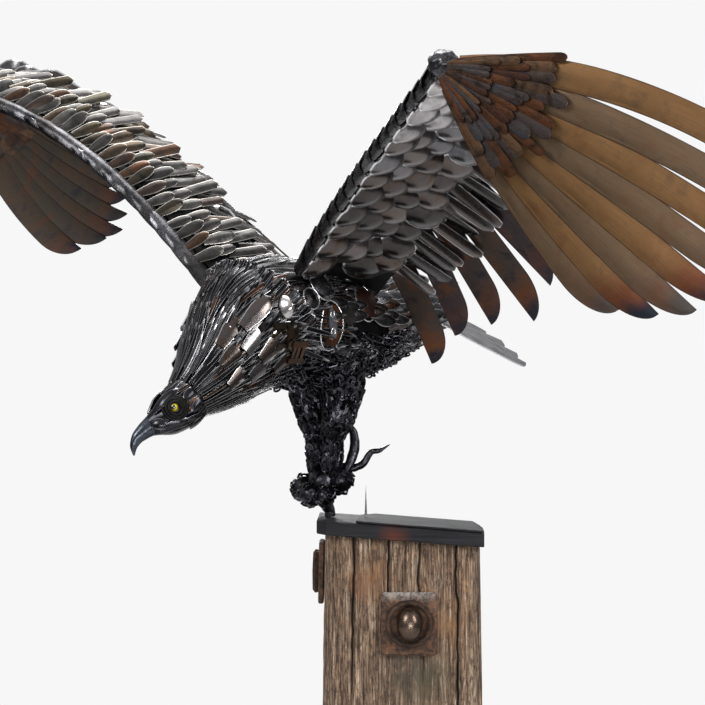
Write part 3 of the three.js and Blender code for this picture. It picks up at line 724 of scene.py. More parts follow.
def pattern_piece(name, half_width, dish=0.0, along=6, across=3, thickness=0.03, curl=0.0, start=0.0):
    """A scrap of sheet one unit long and one wide, dished across and curled along."""
    work = Work()
    x = np.linspace(0, 1, along + 1)
    s = 1 - (1 - x) ** 1.4
    v = np.linspace(-1, 1, across + 1)
    w = half_width(s) * 0.5
    grid = np.zeros((along + 1, across + 1, 3))
    grid[..., 0] = s[:, None] + start
    grid[..., 1] = v * w[:, None]
    grid[..., 2] = dish * (1 - v**2) * (w[:, None] * 2) + curl * s[:, None] ** 2
    up = np.array([0, 0, thickness / 2])
    work.sheet(grid + up, grid - up)
    return hide_pattern(name, work)


def bowl_piece(name, around=14, rings=3, depth=0.22, thickness=0.035):
    """A spoon's bowl: an egg-shaped dish, one unit long and one wide, bulging toward +Z."""
    work = Work()
    angles = circle(around)
    corners, places, faces = [], [], []
    for side in (1, -1):
        for r in range(1, rings + 1):
            share = r / rings
            for a in angles:
                egg = 1 + 0.12 * math.cos(a)
                corners.append((0.5 + 0.5 * share * math.cos(a), 0.5 * share * math.sin(a) * egg,
                                depth * (1 - share**2) + side * thickness / 2))
                places.append((0.5, 0.5 + 0.5 * share))
        corners.append((0.5, 0, depth + side * thickness / 2))
        places.append((0.5, 0.5))
    half = rings * around + 1
    for side in (0, 1):
        base = side * half
        for j in range(around):
            k = (j + 1) % around
            quads = [[base + half - 1, base + j, base + k]]
            quads += [[base + r * around + j, base + (r + 1) * around + j, base + (r + 1) * around + k,
                       base + r * around + k] for r in range(rings - 1)]
            faces += quads if side == 0 else [q[::-1] for q in quads]
    rim = (rings - 1) * around
    for j in range(around):
        k = (j + 1) % around
        faces.append([rim + j, half + rim + j, half + rim + k, rim + k])
    work.add(corners, faces, np.array(places))
    return hide_pattern(name, work)


def ring_piece(name, long=1.0, bore=0.55, height=0.3, around=12, round_section=False):
    """A washer or a chain link, one unit across, lying flat."""
    work = Work()
    rings = []
    for j in range(around):
        a = 2 * math.pi * j / around
        out = np.array([math.cos(a), math.sin(a), 0])
        stretch = np.array([math.copysign((long - 1) / 2, math.cos(a)) if abs(math.cos(a)) > 1e-6 else 0, 0,
                            0])
        mid, half = (1 + bore) / 4, (1 - bore) / 4
        if round_section:
            section = [(mid + half * math.cos(b),
                        height / 2 * math.sin(b)) for b in np.arange(5) * 2 * math.pi / 5]
        else:
            section = [(mid - half, -height / 2), (mid + half, -height / 2), (mid + half, height / 2),
                       (mid - half, height / 2)]
        rings.append([out * r + stretch + np.array([0, 0, z]) for r, z in section])
    work.band(rings)
    return hide_pattern(name, work)


PATTERNS = []


def hide_pattern(name, work):
    work.corners = [c / MM for c in work.corners]
    obj = mesh_object(name, work, CORE)
    obj.data.attributes.remove(obj.data.attributes["tone"])
    PATTERNS.append(obj)
    return obj


BOWL = bowl_piece("spoon_bowl")
PLATE = pattern_piece("blade_plate", lambda s: rounded(s, 0.9, 0.9), 0.1, 5, 3, 0.08)
SPOON_TIP = pattern_piece("spoon_tip", lambda s: rounded(s, 0.6, 0.62), 0.14, 7, 3, 0.07)
KNIFE = pattern_piece("table_knife", lambda s: rounded(s, 0.85, 0.85), 0.06, 7, 3, 0.07)
LEAF = pattern_piece("leaf_plate", lambda s: leaf(s, 0.6), 0.16, 7, 3, 0.08)
LINK = ring_piece("chain_link", 1.6, 0.5, 0.25, 10, True)
WASHER = ring_piece("washer", 1.0, 0.45, 0.22, 10)

# ---------- post, cap and bolts ----------

POST_CRACKS = (
    # face, across, from the top, wide, deep, wander
    (0, -77, 300, 1.9, 20, 5), (0, -22, 210, 1.5, 18, 4), (0, -48, 150, 1.2, 6, 3), (0, 84, 480, 2.0, 24, 6),
    (0, 28, 230, 2.4, 16, 7), (0, 58, 130, 1.3, 6, 4), (0, -98, 190, 1.2, 6, 4), (0, 104, 200, 1.4, 6, 2),
    (1, 30, 340, 2.6, 36, 5), (1, -40, 500, 2.4, 12, 5), (1, -80, 260, 1.8, 9, 3), (1, 78, 220, 1.6, 8, 3),
    (2, -45, 320, 2.6, 32, 5), (2, 20, 520, 2.4, 12, 6), (2, 80, 240, 1.8, 8, 3),
    (3, 20, 400, 2.4, 26, 5), (3, -60, 556, 2.4, 12, 5), (3, 74, 280, 1.8, 8, 3),
)


def rounded_square(width, steps_side=110, steps_corner=12):
    """Points round a square with round corners, with the face and the distance along it for each."""
    half, inner = width / 2, width / 2 - POST_CORNER
    points, faces = [], []
    for face in range(4):
        turn = face * math.pi / 2
        local = [(x, -half, 0, -1) for x in np.linspace(-inner, inner, steps_side + 1)]
        for a in np.linspace(-math.pi / 2, 0, steps_corner + 1)[1:-1]:
            c, s = math.cos(a), math.sin(a)
            local.append((inner + POST_CORNER * c, -inner + POST_CORNER * s, c, s))
        for x, y, nx, ny in local:
            c, s = math.cos(turn), math.sin(turn)
            points.append((x * c - y * s, x * s + y * c, nx * c - ny * s, nx * s + ny * c))
            faces.append((face, x))
    return np.array(points), faces


def make_post():
    ring, spots = rounded_square(POST_WIDTH)
    rows = 150
    heights = np.linspace(0, 1, rows + 1)
    corners = np.zeros((rows + 1, len(ring), 3))
    dark = np.zeros((rows + 1, len(ring)))
    for i, share in enumerate(heights):
        z0 = share * POST_HEIGHT
        spread = blend(POST_FOOT_WIDTH, POST_WIDTH, share) / POST_WIDTH
        for j, (x, y, nx, ny) in enumerate(ring):
            face, across = spots[j]
            down = POST_HEIGHT - z0
            inset = 0.0
            for k, (on, at, length, wide, deep, wander) in enumerate(POST_CRACKS):
                if on != face or down > length:
                    continue
                drift = wander * (noise.noise(Vector((k * 7.3, 0.0,
                                                      z0 * 0.009))) + 0.35 * noise.noise(Vector((
                    k * 3.1, 5.0, z0 * 0.05))))
                fade = min(1.0, (length - down) / 90) if length < POST_HEIGHT else 1.0
                gap = (across - at - drift) / (wide * (0.25 + 0.5 * fade))
                inset += deep * fade * math.exp(-gap * gap) * 0.6
                broken = min(1.0, 0.75 + 0.9 * noise.noise(Vector((k * 5.7, 9.0, z0 * 0.016))))
                dark[i, j] = max(dark[i, j], fade * broken * math.exp(-gap * gap))
            ridge = noise.noise(Vector((x * 0.16, y * 0.16, z0 * 0.008)))
            fine = noise.noise(Vector((x * 0.6 + 9, y * 0.6, z0 * 0.02)))
            inset += 1.3 + 1.2 * ridge + 0.9 * fine
            if share in (0.0, 1.0):
                inset += 1.0
            px, py = x * spread - nx * inset, y * spread - ny * inset
            corners[i, j] = (px, py, share * (POST_HEIGHT - POST_TOP_FALL * px))
    c, s = math.cos(POST_TURN), math.sin(POST_TURN)
    turned = corners.copy()
    turned[..., 0] = corners[..., 0] * c - corners[..., 1] * s
    turned[..., 1] = corners[..., 0] * s + corners[..., 1] * c
    work = Work()
    work.tube(turned)
    obj = mesh_object("post_timber", work, TIMBER, 50)
    # dark holds how near each point is to a crack, for the painted shade inside the cracks.
    values = np.concatenate([np.clip(dark.ravel() * 1.1 - 0.1, 0, 1), [0, 0]]).astype(np.float32)
    obj.data.attributes.new("crack", "FLOAT", "POINT").data.foreach_set("value", values)
    settle(obj, "weathered_timber", "timber_post")


def recoat(node, material):
    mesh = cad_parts[node].data
    mesh.materials.clear()
    mesh.materials.append(material)


def make_nut():
    """The domed nut: six worn flats that run up into a smooth dome."""
    lean = math.atan2((POST_FOOT_WIDTH - POST_WIDTH) / 2, POST_HEIGHT)
    outward = unit([math.sqrt(0.5), -math.sqrt(0.5), math.tan(lean)])
    sideways = np.array([math.sqrt(0.5), math.sqrt(0.5), 0.0])
    upward = np.cross(sideways, outward)
    corners = np.array([v.co[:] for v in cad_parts["front_nut"].data.vertices])
    world = np.array(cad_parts["front_nut"].matrix_world)
    corners = (corners @ world[:3, :3].T + world[:3, 3]) / MM
    stand = corners @ outward
    foot, reach = stand.min(), stand.max() - stand.min()
    middle = (corners.max(0) + corners.min(0)) / 2
    seat = middle + outward * (foot - middle @ outward)
    half = np.array([np.ptp(corners @ sideways), np.ptp(corners @ upward)]) / 2
    rings = []
    for t in np.linspace(0, 0.995, 26):
        size = 1.0 if t < 0.3 else math.sqrt(max(0.0, 1 - ((t - 0.3) / 0.7) ** 2.3))
        flats = max(0.0, 1 - t / 0.55)
        ring = []
        for a in circle(48):
            corner = 1 - 0.13 * flats * (1 - abs(math.cos(3 * (a - math.pi / 2))))
            way = sideways * half[0] * math.cos(a) + upward * half[1] * math.sin(a)
            ring.append(seat + way * size * corner + outward * reach * t)
        rings.append(ring)
    work = Work()
    work.tube(np.array(rings))
    settle(mesh_object("front_domed_nut", work, NUT_IRON, 50), "rusty_iron", "front_nut")


def make_base():
    make_post()
    make_nut()
    for node in ("cap_slab", "cap_top_sheet"):
        recoat(node, CAP)
    for node, iron in (("front_washer_plate", PLATE_IRON), ("front_round_washer", RING_IRON),
                       ("side_washer_plate", PLATE_IRON),
                       ("side_bolt_head", RING_IRON)):
        recoat(node, iron)
    recoat("cap_spike", BLACK)


# ---------- body, neck and head ----------

TORSO = Limb([
    (BODY_X, -306, 872, 58, 60), (BODY_X, -240, 896, 86, 92), (BODY_X, -150, 893, 90, 95),
    (BODY_X, -60, 890, 82, 88),
    (BODY_X, 30, 893, 64, 66), (BODY_X, 100, 899, 48, 44), (BODY_X, 164, 908, 34, 22)])
NECK = Limb([
    (BODY_X, -222, 902, 92, 94), (BODY_X, -262, 868, 82, 86), (BODY_X + 1, -300, 835, 66, 70),
    (BODY_X + 2, -338, 804, 48, 52), (BODY_X, -372, 779, 34, 36)])
HEAD_CENTRE = np.array([BODY_X, -394, 766])
YAW, PITCH = math.radians(20), math.radians(37)
HEAD_FORWARD = np.array([-math.sin(YAW) * math.cos(PITCH), -math.cos(YAW) * math.cos(PITCH),
                         -math.sin(PITCH)])
HEAD_LEFT = np.array([math.cos(YAW), -math.sin(YAW), 0])
HEAD_UP = np.cross(HEAD_FORWARD, HEAD_LEFT)


def head_spot(ahead, above, left=0.0):
    return HEAD_CENTRE + HEAD_FORWARD * ahead + HEAD_UP * above + HEAD_LEFT * left


def head_limb(rows):
    return Limb([(*head_spot(ahead, above), w, h) for ahead, above, w, h in rows], HEAD_LEFT)


HEAD = head_limb(((-44, -4, 12, 12), (-30, -4, 28, 32), (-6, -5, 32, 36), (18, -5, 28, 31), (38, -1, 19, 22),
                  (50, 1, 13, 17)))
BEAK = head_limb(((46, 1, 12, 16), (62, 1.5, 10, 13), (76, 0, 7.5, 10), (88, -6, 4.5, 6.5),
                  (97, -18, 1, 1.2)))


def limb_work(limb, along=60, around=40, grow=0.0, rough=0.0, grain=0.06, tone=0.5, work=None):
    work = work or Work()
    s, a = np.meshgrid(np.linspace(0, 1, along + 1), circle(around),
                       indexing="ij")
    lumps = np.zeros(s.shape)
    if rough:
        base = limb.at(s, a)
        for i in range(s.shape[0]):
            for j in range(s.shape[1]):
                lumps[i, j] = rough * noise.noise(Vector(base[i, j]) * grain)
    work.tube(limb.at(s, a, grow + lumps), tone)
    return work


def lay_strips(work, limb, count, s_range, angle_range, length, width, lift, rng, drift=0.1, crown=0.25,
               curl=3.0,
               backward=True, thickness=1.5):
    """Thin strips over a limb in staggered rows, each rising from the skin to its free end."""
    for k in range(count):
        s_root = rng.uniform(*s_range)
        angle = blend(*angle_range, (k + 0.5 + 0.3 * rng.normal()) / count)
        run = rng.uniform(0.85, 1.15) * length * (-1 if backward else 1)
        t = np.linspace(0, 1, 10)
        s = np.clip(s_root + run * t, -0.1, 1.05)
        bend = angle + drift * rng.normal() * t + 0.02 * np.sin(t * 5 + rng.uniform(0, 6))
        rise = lift[0] + (lift[1] - lift[0]) * rng.uniform(0.6, 1.2) * t**1.3 + curl * rng.uniform(0,
                                                                                                   1) * t**4
        centres = limb.at(s, bend, rise)
        half = width * rng.uniform(0.8, 1.2) / 2 * np.maximum(0.12, leaf(0.06 + 0.9 * t, 0.45))
        ribbon(work, centres, limb.normal(s, bend), half, half, thickness, crown, 2, rng.uniform(0, 1))


def spots_on_limb(limb, rows, around, s_range, angle_range, size, rng, grow=2.0, backward=True, tones=(0, 1),
                  heading=None, vary=0.15):
    spots = Spots()
    for i in range(rows):
        s = blend(s_range[0], s_range[1], (i + 0.5) / rows)
        for j in range(around):
            a = blend(angle_range[0], angle_range[1], (j + 0.5 * (i % 2) + 0.25) / around)
            s_here = s + rng.normal() * 0.15 / rows
            spot = limb.at(s_here, a, grow + rng.uniform(0, 1.5)).reshape(3)
            facing = limb.normal(s_here, a).reshape(3)
            ahead = unit(limb.at(s_here + 0.01, a) - limb.at(s_here - 0.01, a)).reshape(3)
            way = ahead * (-1 if backward else 1) if heading is None else np.array(heading, float)
            scale = 1 + vary * rng.normal()
            spots.add(spot, facing, way, (size[0] * scale, size[1] * scale, size[1]), rng.uniform(*tones))
    return spots


def flank(y, z, side=1, grow=0.0):
    """A point on the body's side at a length and a height, and which way it faces."""
    s = np.interp(y, TORSO.path[:, 1], np.linspace(0, 1, len(TORSO.path)))
    for _ in range(4):
        s = s + (y - spline(TORSO.path, s)[0, 1]) / 560
    centre, _, _, _, size = TORSO.axes(np.array([s]).ravel())
    angle = math.asin(np.clip((z - centre[0, 2]) / size[0, 1], -0.98, 0.98))
    angle = angle if side > 0 else math.pi - angle
    return TORSO.at(s, angle, grow).reshape(3), TORSO.normal(s, angle).reshape(3)


def flank_axes(y, z, side=1, grow=0.0):
    """The point, its outward direction, and the directions back and up along the skin."""
    spot, out = flank(y, z, side, grow)
    back = unit(np.array([0, 1, 0]) - out * out[1])
    return spot, out, back, np.cross(out, back) * side


def flank_disc(work, y, z, side, radius, height, stand, dome=0.0, tone=0.5, around=28, stretch=1.0, hole=0.0):
    """A round or oval plate on the body's side, flat or domed, with or without a hole."""
    spot, out, back, up = flank_axes(y, z, side, stand)
    profile = [(1.0, 0.0), (1.0, height), (0.93, height + 0.12 * dome)]
    profile += [(r, height + dome * (1 - r * r)) for r in (0.75, 0.5, 0.25)]
    inner = max(hole, 0.03)
    profile = [p for p in profile if p[0] > inner] + [(inner, height + dome), (inner, 0.0)]
    rings = []
    for a in circle(around):
        way = back * math.cos(a) * radius * stretch + up * math.sin(a) * radius
        rings.append([spot + way * r + out * h for r, h in profile])
    work.band(rings, tone)


def flank_plate(work, y, z, side, outline, thickness, stand, tone=0.5, turn=0.0):
    """A flat plate on the body's side with an outline of points, in its own back and up directions."""
    spot, out, back, up = flank_axes(y, z, side, stand)
    c, s = math.cos(turn), math.sin(turn)
    ring = [(x * c - w * s, x * s + w * c) for x, w in outline]
    count = len(ring)
    low = [spot + back * x + up * w for x, w in ring]
    high = [p + out * thickness for p in low]
    middle = [spot, spot + out * thickness]
    corners = np.array(low + high + middle)
    faces = []
    for j in range(count):
        k = (j + 1) % count
        faces += [[j, k, count + k, count + j], [2 * count, k, j], [2 * count + 1, count + j, count + k]]
    work.add(corners, faces, None, tone)


def slotted_bracket(work, y, z, side, wide, tall, slots, stand, tone):
    """A plate with a row of upright slots, as bars between two rails."""
    bar = wide / (2 * slots + 1)
    for k in range(slots + 1):
        x = -wide / 2 + bar * (2 * k + 0.5)
        flank_plate(work, y + x, z, side, [(-bar / 2, -tall / 2), (bar / 2, -tall / 2), (bar / 2, tall / 2),
                                           (-bar / 2, tall / 2)], 3, stand, tone)
    for end in (-1, 1):
        flank_plate(work, y, z + end * tall / 2, side, [(-wide / 2, -5), (wide / 2, -5), (wide / 2 + 3, 0),
                                                        (wide / 2, 5), (-wide / 2, 5)], 3, stand + 1, tone)


def gear_outline(teeth, radius, depth):
    points = []
    for k in range(teeth):
        for part, r in ((0.0, radius), (0.22, radius), (0.32, radius + depth), (0.68, radius + depth),
                        (0.78, radius)):
            a = 2 * math.pi * (k + part) / teeth
            points.append((r * math.cos(a), r * math.sin(a)))
    return points


def oval(radius, tall, count=24, point=0.0):
    angles = circle(count)
    return [(radius * math.cos(a) * (1 - point * max(0, math.sin(a)) ** 2),
             tall * math.sin(a)) for a in angles]


def make_torso():
    settle(mesh_object("body_core", limb_work(TORSO, 70, 48, -2.5, 3.0), CORE, 60), "dark_steel", "body")
    rng = np.random.default_rng(21)
    back_plates = spots_on_limb(TORSO, 15, 15, (0.16, 0.97), (0.1, math.pi - 0.1), (44, 20), rng, 1.5, False)
    lay("back_plates", back_plates, LEAF, DARK, "dark_steel", lean=0.16, roll=0.1, wobble=0.12, seed=4)
    belly = spots_on_limb(TORSO, 26, 26, (0.1, 0.92), (-math.pi + 0.15, -0.15), (15, 13), rng, 2.5, False)
    lay("belly_links", belly, LINK, BLACK, "black_steel", lean=0.25, wobble=0.7, seed=8)
    for side, tag in ((1, "left"), (-1, "right")):
        arcs = Spots()
        for y, z, wide, tall, size in ((-77, 838, 17, 22, 13), (-77, 838, 25, 30, 13),
                                       (-150, 850, 24, 18, 12)):
            for a in np.linspace(0.1, math.pi + 0.2, 13):
                spot, out, back, up = flank_axes(y + wide * math.cos(a), z + tall * math.sin(a), side, 6)
                way = unit(back * -math.sin(a) + up * math.cos(a))
                arcs.add(spot, out, way, (size, size, size), rng.uniform(0.4, 1))
        lay(f"{tag}_chain_arcs", arcs, LINK, DARK, "dark_steel", lean=0.0, wobble=0.35, seed=11)
        scrap = Work()
        flank_disc(scrap, -164, 951, side, 23, 3, 7, 5, 0.9)
        flank_disc(scrap, -77, 833, side, 11, 3, 7, 2, 0.9)
        flank_disc(scrap, -196, 930, side, 15, 3, 8, 3, 0.5, hole=0.35)
        flank_disc(scrap, -118, 862, side, 13, 3, 8, 1, 0.35, hole=0.4)
        settle(mesh_object(f"{tag}_steel_discs", scrap, DARK, 35), "dark_steel")
        dome = Work()
        flank_disc(dome, -242, 918, side, 20, 3, 7, 15, 0.9, stretch=0.62)
        settle(mesh_object(f"{tag}_shoulder_dome", dome, SILVER, 45), "bright_steel")
        cogs = Work()
        slotted_bracket(cogs, -252, 876, side, 44, 30, 3, 9, 0.06)
        slotted_bracket(cogs, -222, 856, side, 30, 22, 2, 12, 0.3)
        flank_plate(cogs, -262, 868, side, gear_outline(9, 17, 5), 3, 8, 0.1, 0.2)
        flank_plate(cogs, -238, 884, side, gear_outline(8, 12, 4), 3, 9, 0.28, 0.5)
        flank_plate(cogs, -228, 858, side,
                    [(-18, -5), (16, -7), (20, 0), (16, 7), (-4, 6), (-18, 14), (-22, 4)], 3, 10,
                    0.1, -0.5)
        flank_plate(cogs, -276, 892, side, [(-14, -5), (14, -5), (18, 2), (8, 8), (-12, 6)], 3, 8, 0.44, 0.6)
        flank_plate(cogs, -118, 905, side, gear_outline(11, 13, 4), 3, 9, 0.62, 0.2)
        settle(mesh_object(f"{tag}_cogs", cogs, PATINA, 25), "dark_steel")
        ovals = Work()
        flank_disc(ovals, -68, 924, side, 25, 3, 8, 3, 0.3, stretch=0.95)
        flank_disc(ovals, -154, 892, side, 33, 2.5, 6, 0, 0.1, stretch=0.66)
        settle(mesh_object(f"{tag}_rust_discs", ovals, COVERT, 35), "dark_steel")
        lever = Work()
        flank_plate(lever, -156, 896, side, oval(8, 25, 20, 0.2), 3, 10, 0.5, 0.15)
        settle(mesh_object(f"{tag}_lever", lever, PALE, 30), "bright_steel")
        rims = []
        for y, z, wide, tall, stand in ((-164, 951, 23, 23, 10), (-68, 924, 25, 26, 11),
                                        (-154, 892, 24, 36, 9),
                                        (-158, 908, 4, 4, 13), (-155, 884, 4, 4, 13),
                                        (-196, 930, 15, 15, 11)):
            line = []
            for a in np.linspace(0, 2 * math.pi, 29):
                line.append(flank_axes(y + wide * math.cos(a), z + tall * math.sin(a), side, stand)[0])
            rims.append(line)
        bars(f"{tag}_bright_rims", rims, 1.4, SILVER, "bright_steel")


def make_neck():
    settle(mesh_object("neck_core", limb_work(NECK, 40, 40, -3.0, 3.0), CORE, 60), "dark_steel", "neck")
    rng = np.random.default_rng(5)
    strips = Work()
    for ring in range(11):
        s = 1.0 - ring * 0.1
        lay_strips(strips, NECK, 40, (s - 0.03, s + 0.03), (0, 2 * math.pi), 0.42, 6.5, (1.0, 7.0), rng, 0.06)
    settle(mesh_object("neck_strips", strips, STRIP, 30), "dark_steel")
    mantle = Work()
    for ring in range(5):
        s = 0.04 + ring * 0.05
        lay_strips(mantle, TORSO, 40, (s - 0.02, s + 0.02), (-0.5, math.pi + 0.5), 0.2, 7, (4.0, 10.0), rng,
                   0.08,
                   backward=False)
    settle(mesh_object("mantle_strips", mantle, STRIP, 30), "dark_steel")
    plates = Spots()
    for s, a, long, wide, tone in ((0.30, -0.62, 70, 30, 0.16), (0.42, -0.3, 72, 31, 0.4),
                                   (0.36, 0.05, 76, 32, 0.14),
                                   (0.52, -0.75, 60, 27, 0.12), (0.5, 0.25, 68, 29, 0.2),
                                   (0.62, -0.45, 56, 25, 0.1),
                                   (0.3, 0.45, 70, 29, 0.12), (0.66, 0.1, 54, 24, 0.14)):
        for side in (1, -1):
            angle = a if side > 0 else math.pi - a
            spot = NECK.at(s + 0.1, angle, 11).reshape(3)
            ahead = unit(NECK.at(s + 0.01, angle) - NECK.at(s - 0.01, angle)).reshape(3)
            plates.add(spot, NECK.normal(s, angle).reshape(3), -ahead, (long, wide, wide), tone)
    lay("neck_spoons", plates, SPOON_TIP, SILVER, "dark_steel", lean=0.1, wobble=0.1, seed=3)


def face_out(ahead, above, lift):
    """How far the side of the head stands out at a place on it."""
    along = [-44, -30, -6, 18, 38, 50, 60]
    width = np.interp(ahead, along, [12, 28, 32, 28, 19, 13, 10])
    height = np.interp(ahead, along, [12, 32, 36, 31, 22, 17, 14])
    return width * np.sqrt(np.clip(1 - ((above + 4) / height) ** 2, 0.06, 1)) + lift


def make_head():
    settle(mesh_object("head_core", limb_work(HEAD, 44, 36, -1.5, 0.6, 0.05), FACE, 60), "dark_steel", "head")
    settle(mesh_object("beak_hook", limb_work(BEAK, 36, 28, 0, 0.3, 0.1, 0.6), BEAK_STEEL, 60), "black_steel",
           "beak")
    rng = np.random.default_rng(9)
    strips = Work()
    for ring in range(5):
        s = 0.46 - ring * 0.1
        lay_strips(strips, HEAD, 34, (s - 0.03, s + 0.03), (0, 2 * math.pi), 0.34, 5.5, (0.6, 3.5), rng, 0.06,
                   curl=1.5)
    settle(mesh_object("head_strips", strips, STRIP, 30), "dark_steel")
    plates = Work()
    for side in (1, -1):
        rows = (
            # ahead and above at the start and the end, half width, lift
            ((38, 17), (-14, 25), 8, 4.0), ((50, 5), (33, -10), 8.5, 3.0), ((46, -12), (2, -22), 8, 3.5),
            ((-10, 8), (-38, 6), 8, 4.5), ((-8, -14), (-38, -12), 8, 4.5), ((20, -22), (-22, -30), 6, 3.0),
        )
        for (x0, z0), (x1, z1), half, lift in rows:
            t = np.linspace(0, 1, 12)
            x, z = blend(x0, x1, t), blend(z0, z1, t) + 3 * np.sin(t * math.pi)
            out = face_out(x, z, lift)
            centres = np.array([head_spot(a, b, side * c) for a, b, c in zip(x, z, out)])
            normals = unit(np.outer(out / 26**2, HEAD_LEFT * side) + np.outer((z + 4) / 30**2, HEAD_UP))
            shape = half * np.maximum(0.15, leaf(0.04 + 0.92 * t, 0.5))
            ribbon(plates, centres, normals, shape, shape, 1.8, 0.35, 4, 0.8)
    settle(mesh_object("face_plates", plates, FACE, 35), "dark_steel")
    rings = []
    for side in (1, -1):
        for wide, stand in ((18, 2.0), (14, 3.0), (10, 4.0)):
            turn = np.linspace(0, 2 * math.pi, 37)
            ahead, above = 9 + wide * 0.95 * np.cos(turn), 6 + wide * np.sin(turn)
            out = side * face_out(ahead, above, stand)
            rings.append([head_spot(x, z, c) for x, z, c in zip(ahead, above, out)])
    bars("eye_sockets", rings, 3.2, CORE, "black_steel")
    for side, tag in ((1, "left"), (-1, "right")):
        pupil = head_spot(11.4, 9.8, side * 31.5) * MM
        work = Work()
        ring_points = []
        for b in np.linspace(0.05, math.pi - 0.05, 13):
            ring_points.append([head_spot(9, 8,
                                          side * 25) + 7.2 * (math.cos(b) * HEAD_LEFT * side + math.sin(b) * (
                math.cos(a) * HEAD_FORWARD + math.sin(a) * HEAD_UP)) for a in circle(20)])
        work.tube(np.array(ring_points))
        settle(mesh_object(f"{tag}_eye_glass", work, eye_glass(f"{tag}_eye", tuple(pupil)), 60), "yellow_eye",
               f"{tag}_eye")


# ---------- legs and claws ----------

LEG_Y = -72.0
LEG_ROWS = ((40, LEG_Y, 842, 34, 34), (37, LEG_Y, 790, 31, 31), (29, LEG_Y, 748, 22, 22),
            (17, LEG_Y - 2, 712, 15, 15),
            (15, LEG_Y - 2, 664, 14, 14))
FEET = ((0, -78, 640, 26), (-26, -94, 632, 20), (22, -62, 646, 22), (-4, -104, 622, 17), (18, -92, 620, 15),
        (-14, -66, 620, 17))


def claw(name, rows, node, side=(1, 0, 0), along=40, around=16):
    limb = Limb([(BODY_X + x, y, z, w, h) for x, y, z, w, h in rows], side)
    work = limb_work(limb, along, around, 0, 0.8, 0.12, 0.8)
    settle(mesh_object(name, work, BLACK, 60), "black_steel", node)


def make_legs():
    rng = np.random.default_rng(33)
    washers, links = Spots(), Spots()
    for side, tag in ((1, "left"), (-1, "right")):
        limb = Limb([(BODY_X + side * x, y, z, w, h) for x, y, z, w, h in LEG_ROWS])
        settle(mesh_object(f"{tag}_leg_core", limb_work(limb, 40, 24, -2), CORE, 60), "black_steel",
               f"{tag}_leg")
        for store, rows, around, size in ((washers, 14, 12, 17), (links, 16, 10, 13)):
            part = spots_on_limb(limb, rows, around, (0.02, 0.72), (0, 2 * math.pi), (size, size), rng, 1.0)
            store.rows += part.rows
            part = spots_on_limb(limb, rows // 2, around // 2 + 1, (0.7, 1.0), (0, 2 * math.pi), (size, size),
                                 rng, 0.0)
            store.rows += part.rows
    for x, y, z, r in FEET:
        centre = np.array([BODY_X + x, y, z])
        for _ in range(int(r * 1.4)):
            way = unit(rng.normal(size=3))
            kind = washers if rng.uniform() < 0.5 else links
            turn = unit(np.cross(way, rng.normal(size=3)))
            kind.add(centre + way * (r + 0.5), way, turn, (13, 13, 13), rng.uniform(0, 1))
    lay("leg_washers", washers, WASHER, BLACK, "black_steel", lean=0.22, wobble=0.3, seed=17)
    lay("leg_links", links, LINK, BLACK, "black_steel", lean=0.16, wobble=0.4, seed=18)
    lump = Work()
    for x, y, z, r in FEET:
        angles = circle(20)
        ring = [[(BODY_X + x + r * math.sin(b) * math.cos(a), y + r * math.sin(b) * math.sin(a),
                  z + r * math.cos(b))
                 for a in angles] for b in np.linspace(0.06, math.pi - 0.06, 12)]
        lump.tube(np.array(ring))
    settle(mesh_object("foot_knuckles", lump, BLACK, 60), "black_steel", "clenched_feet")
    cap_top = POST_HEIGHT - POST_TOP_FALL * STANCE_X + GAP + CAP_THICKNESS
    claw("standing_claw_bar", ((6, -82, 622, 10, 12), (8, -77, 605, 9, 11), (10, -72, cap_top + 9, 8, 9),
                               (10, -72, cap_top + 0.3, 8, 9)), "standing_claw")
    claw("raised_talon_hook", ((20, -58, 668, 7, 7), (34, -46, 664, 6.5, 6.5), (46, -32, 672, 6, 6),
                               (54, -22, 690, 5, 5), (62, -12, 692, 3.5, 3.5), (74, 0, 702, 1, 1)),
         "raised_talon", (0, 0, 1), 60)
    claw("big_claw_hook", ((36, -56, 738, 1.5, 1.5), (41, -50, 722, 7, 6), (42, -48, 700, 9, 7),
                           (38, -52, 678, 9, 7),
                           (32, -58, 660, 7, 6)), "big_claw")


# ---------- wings ----------


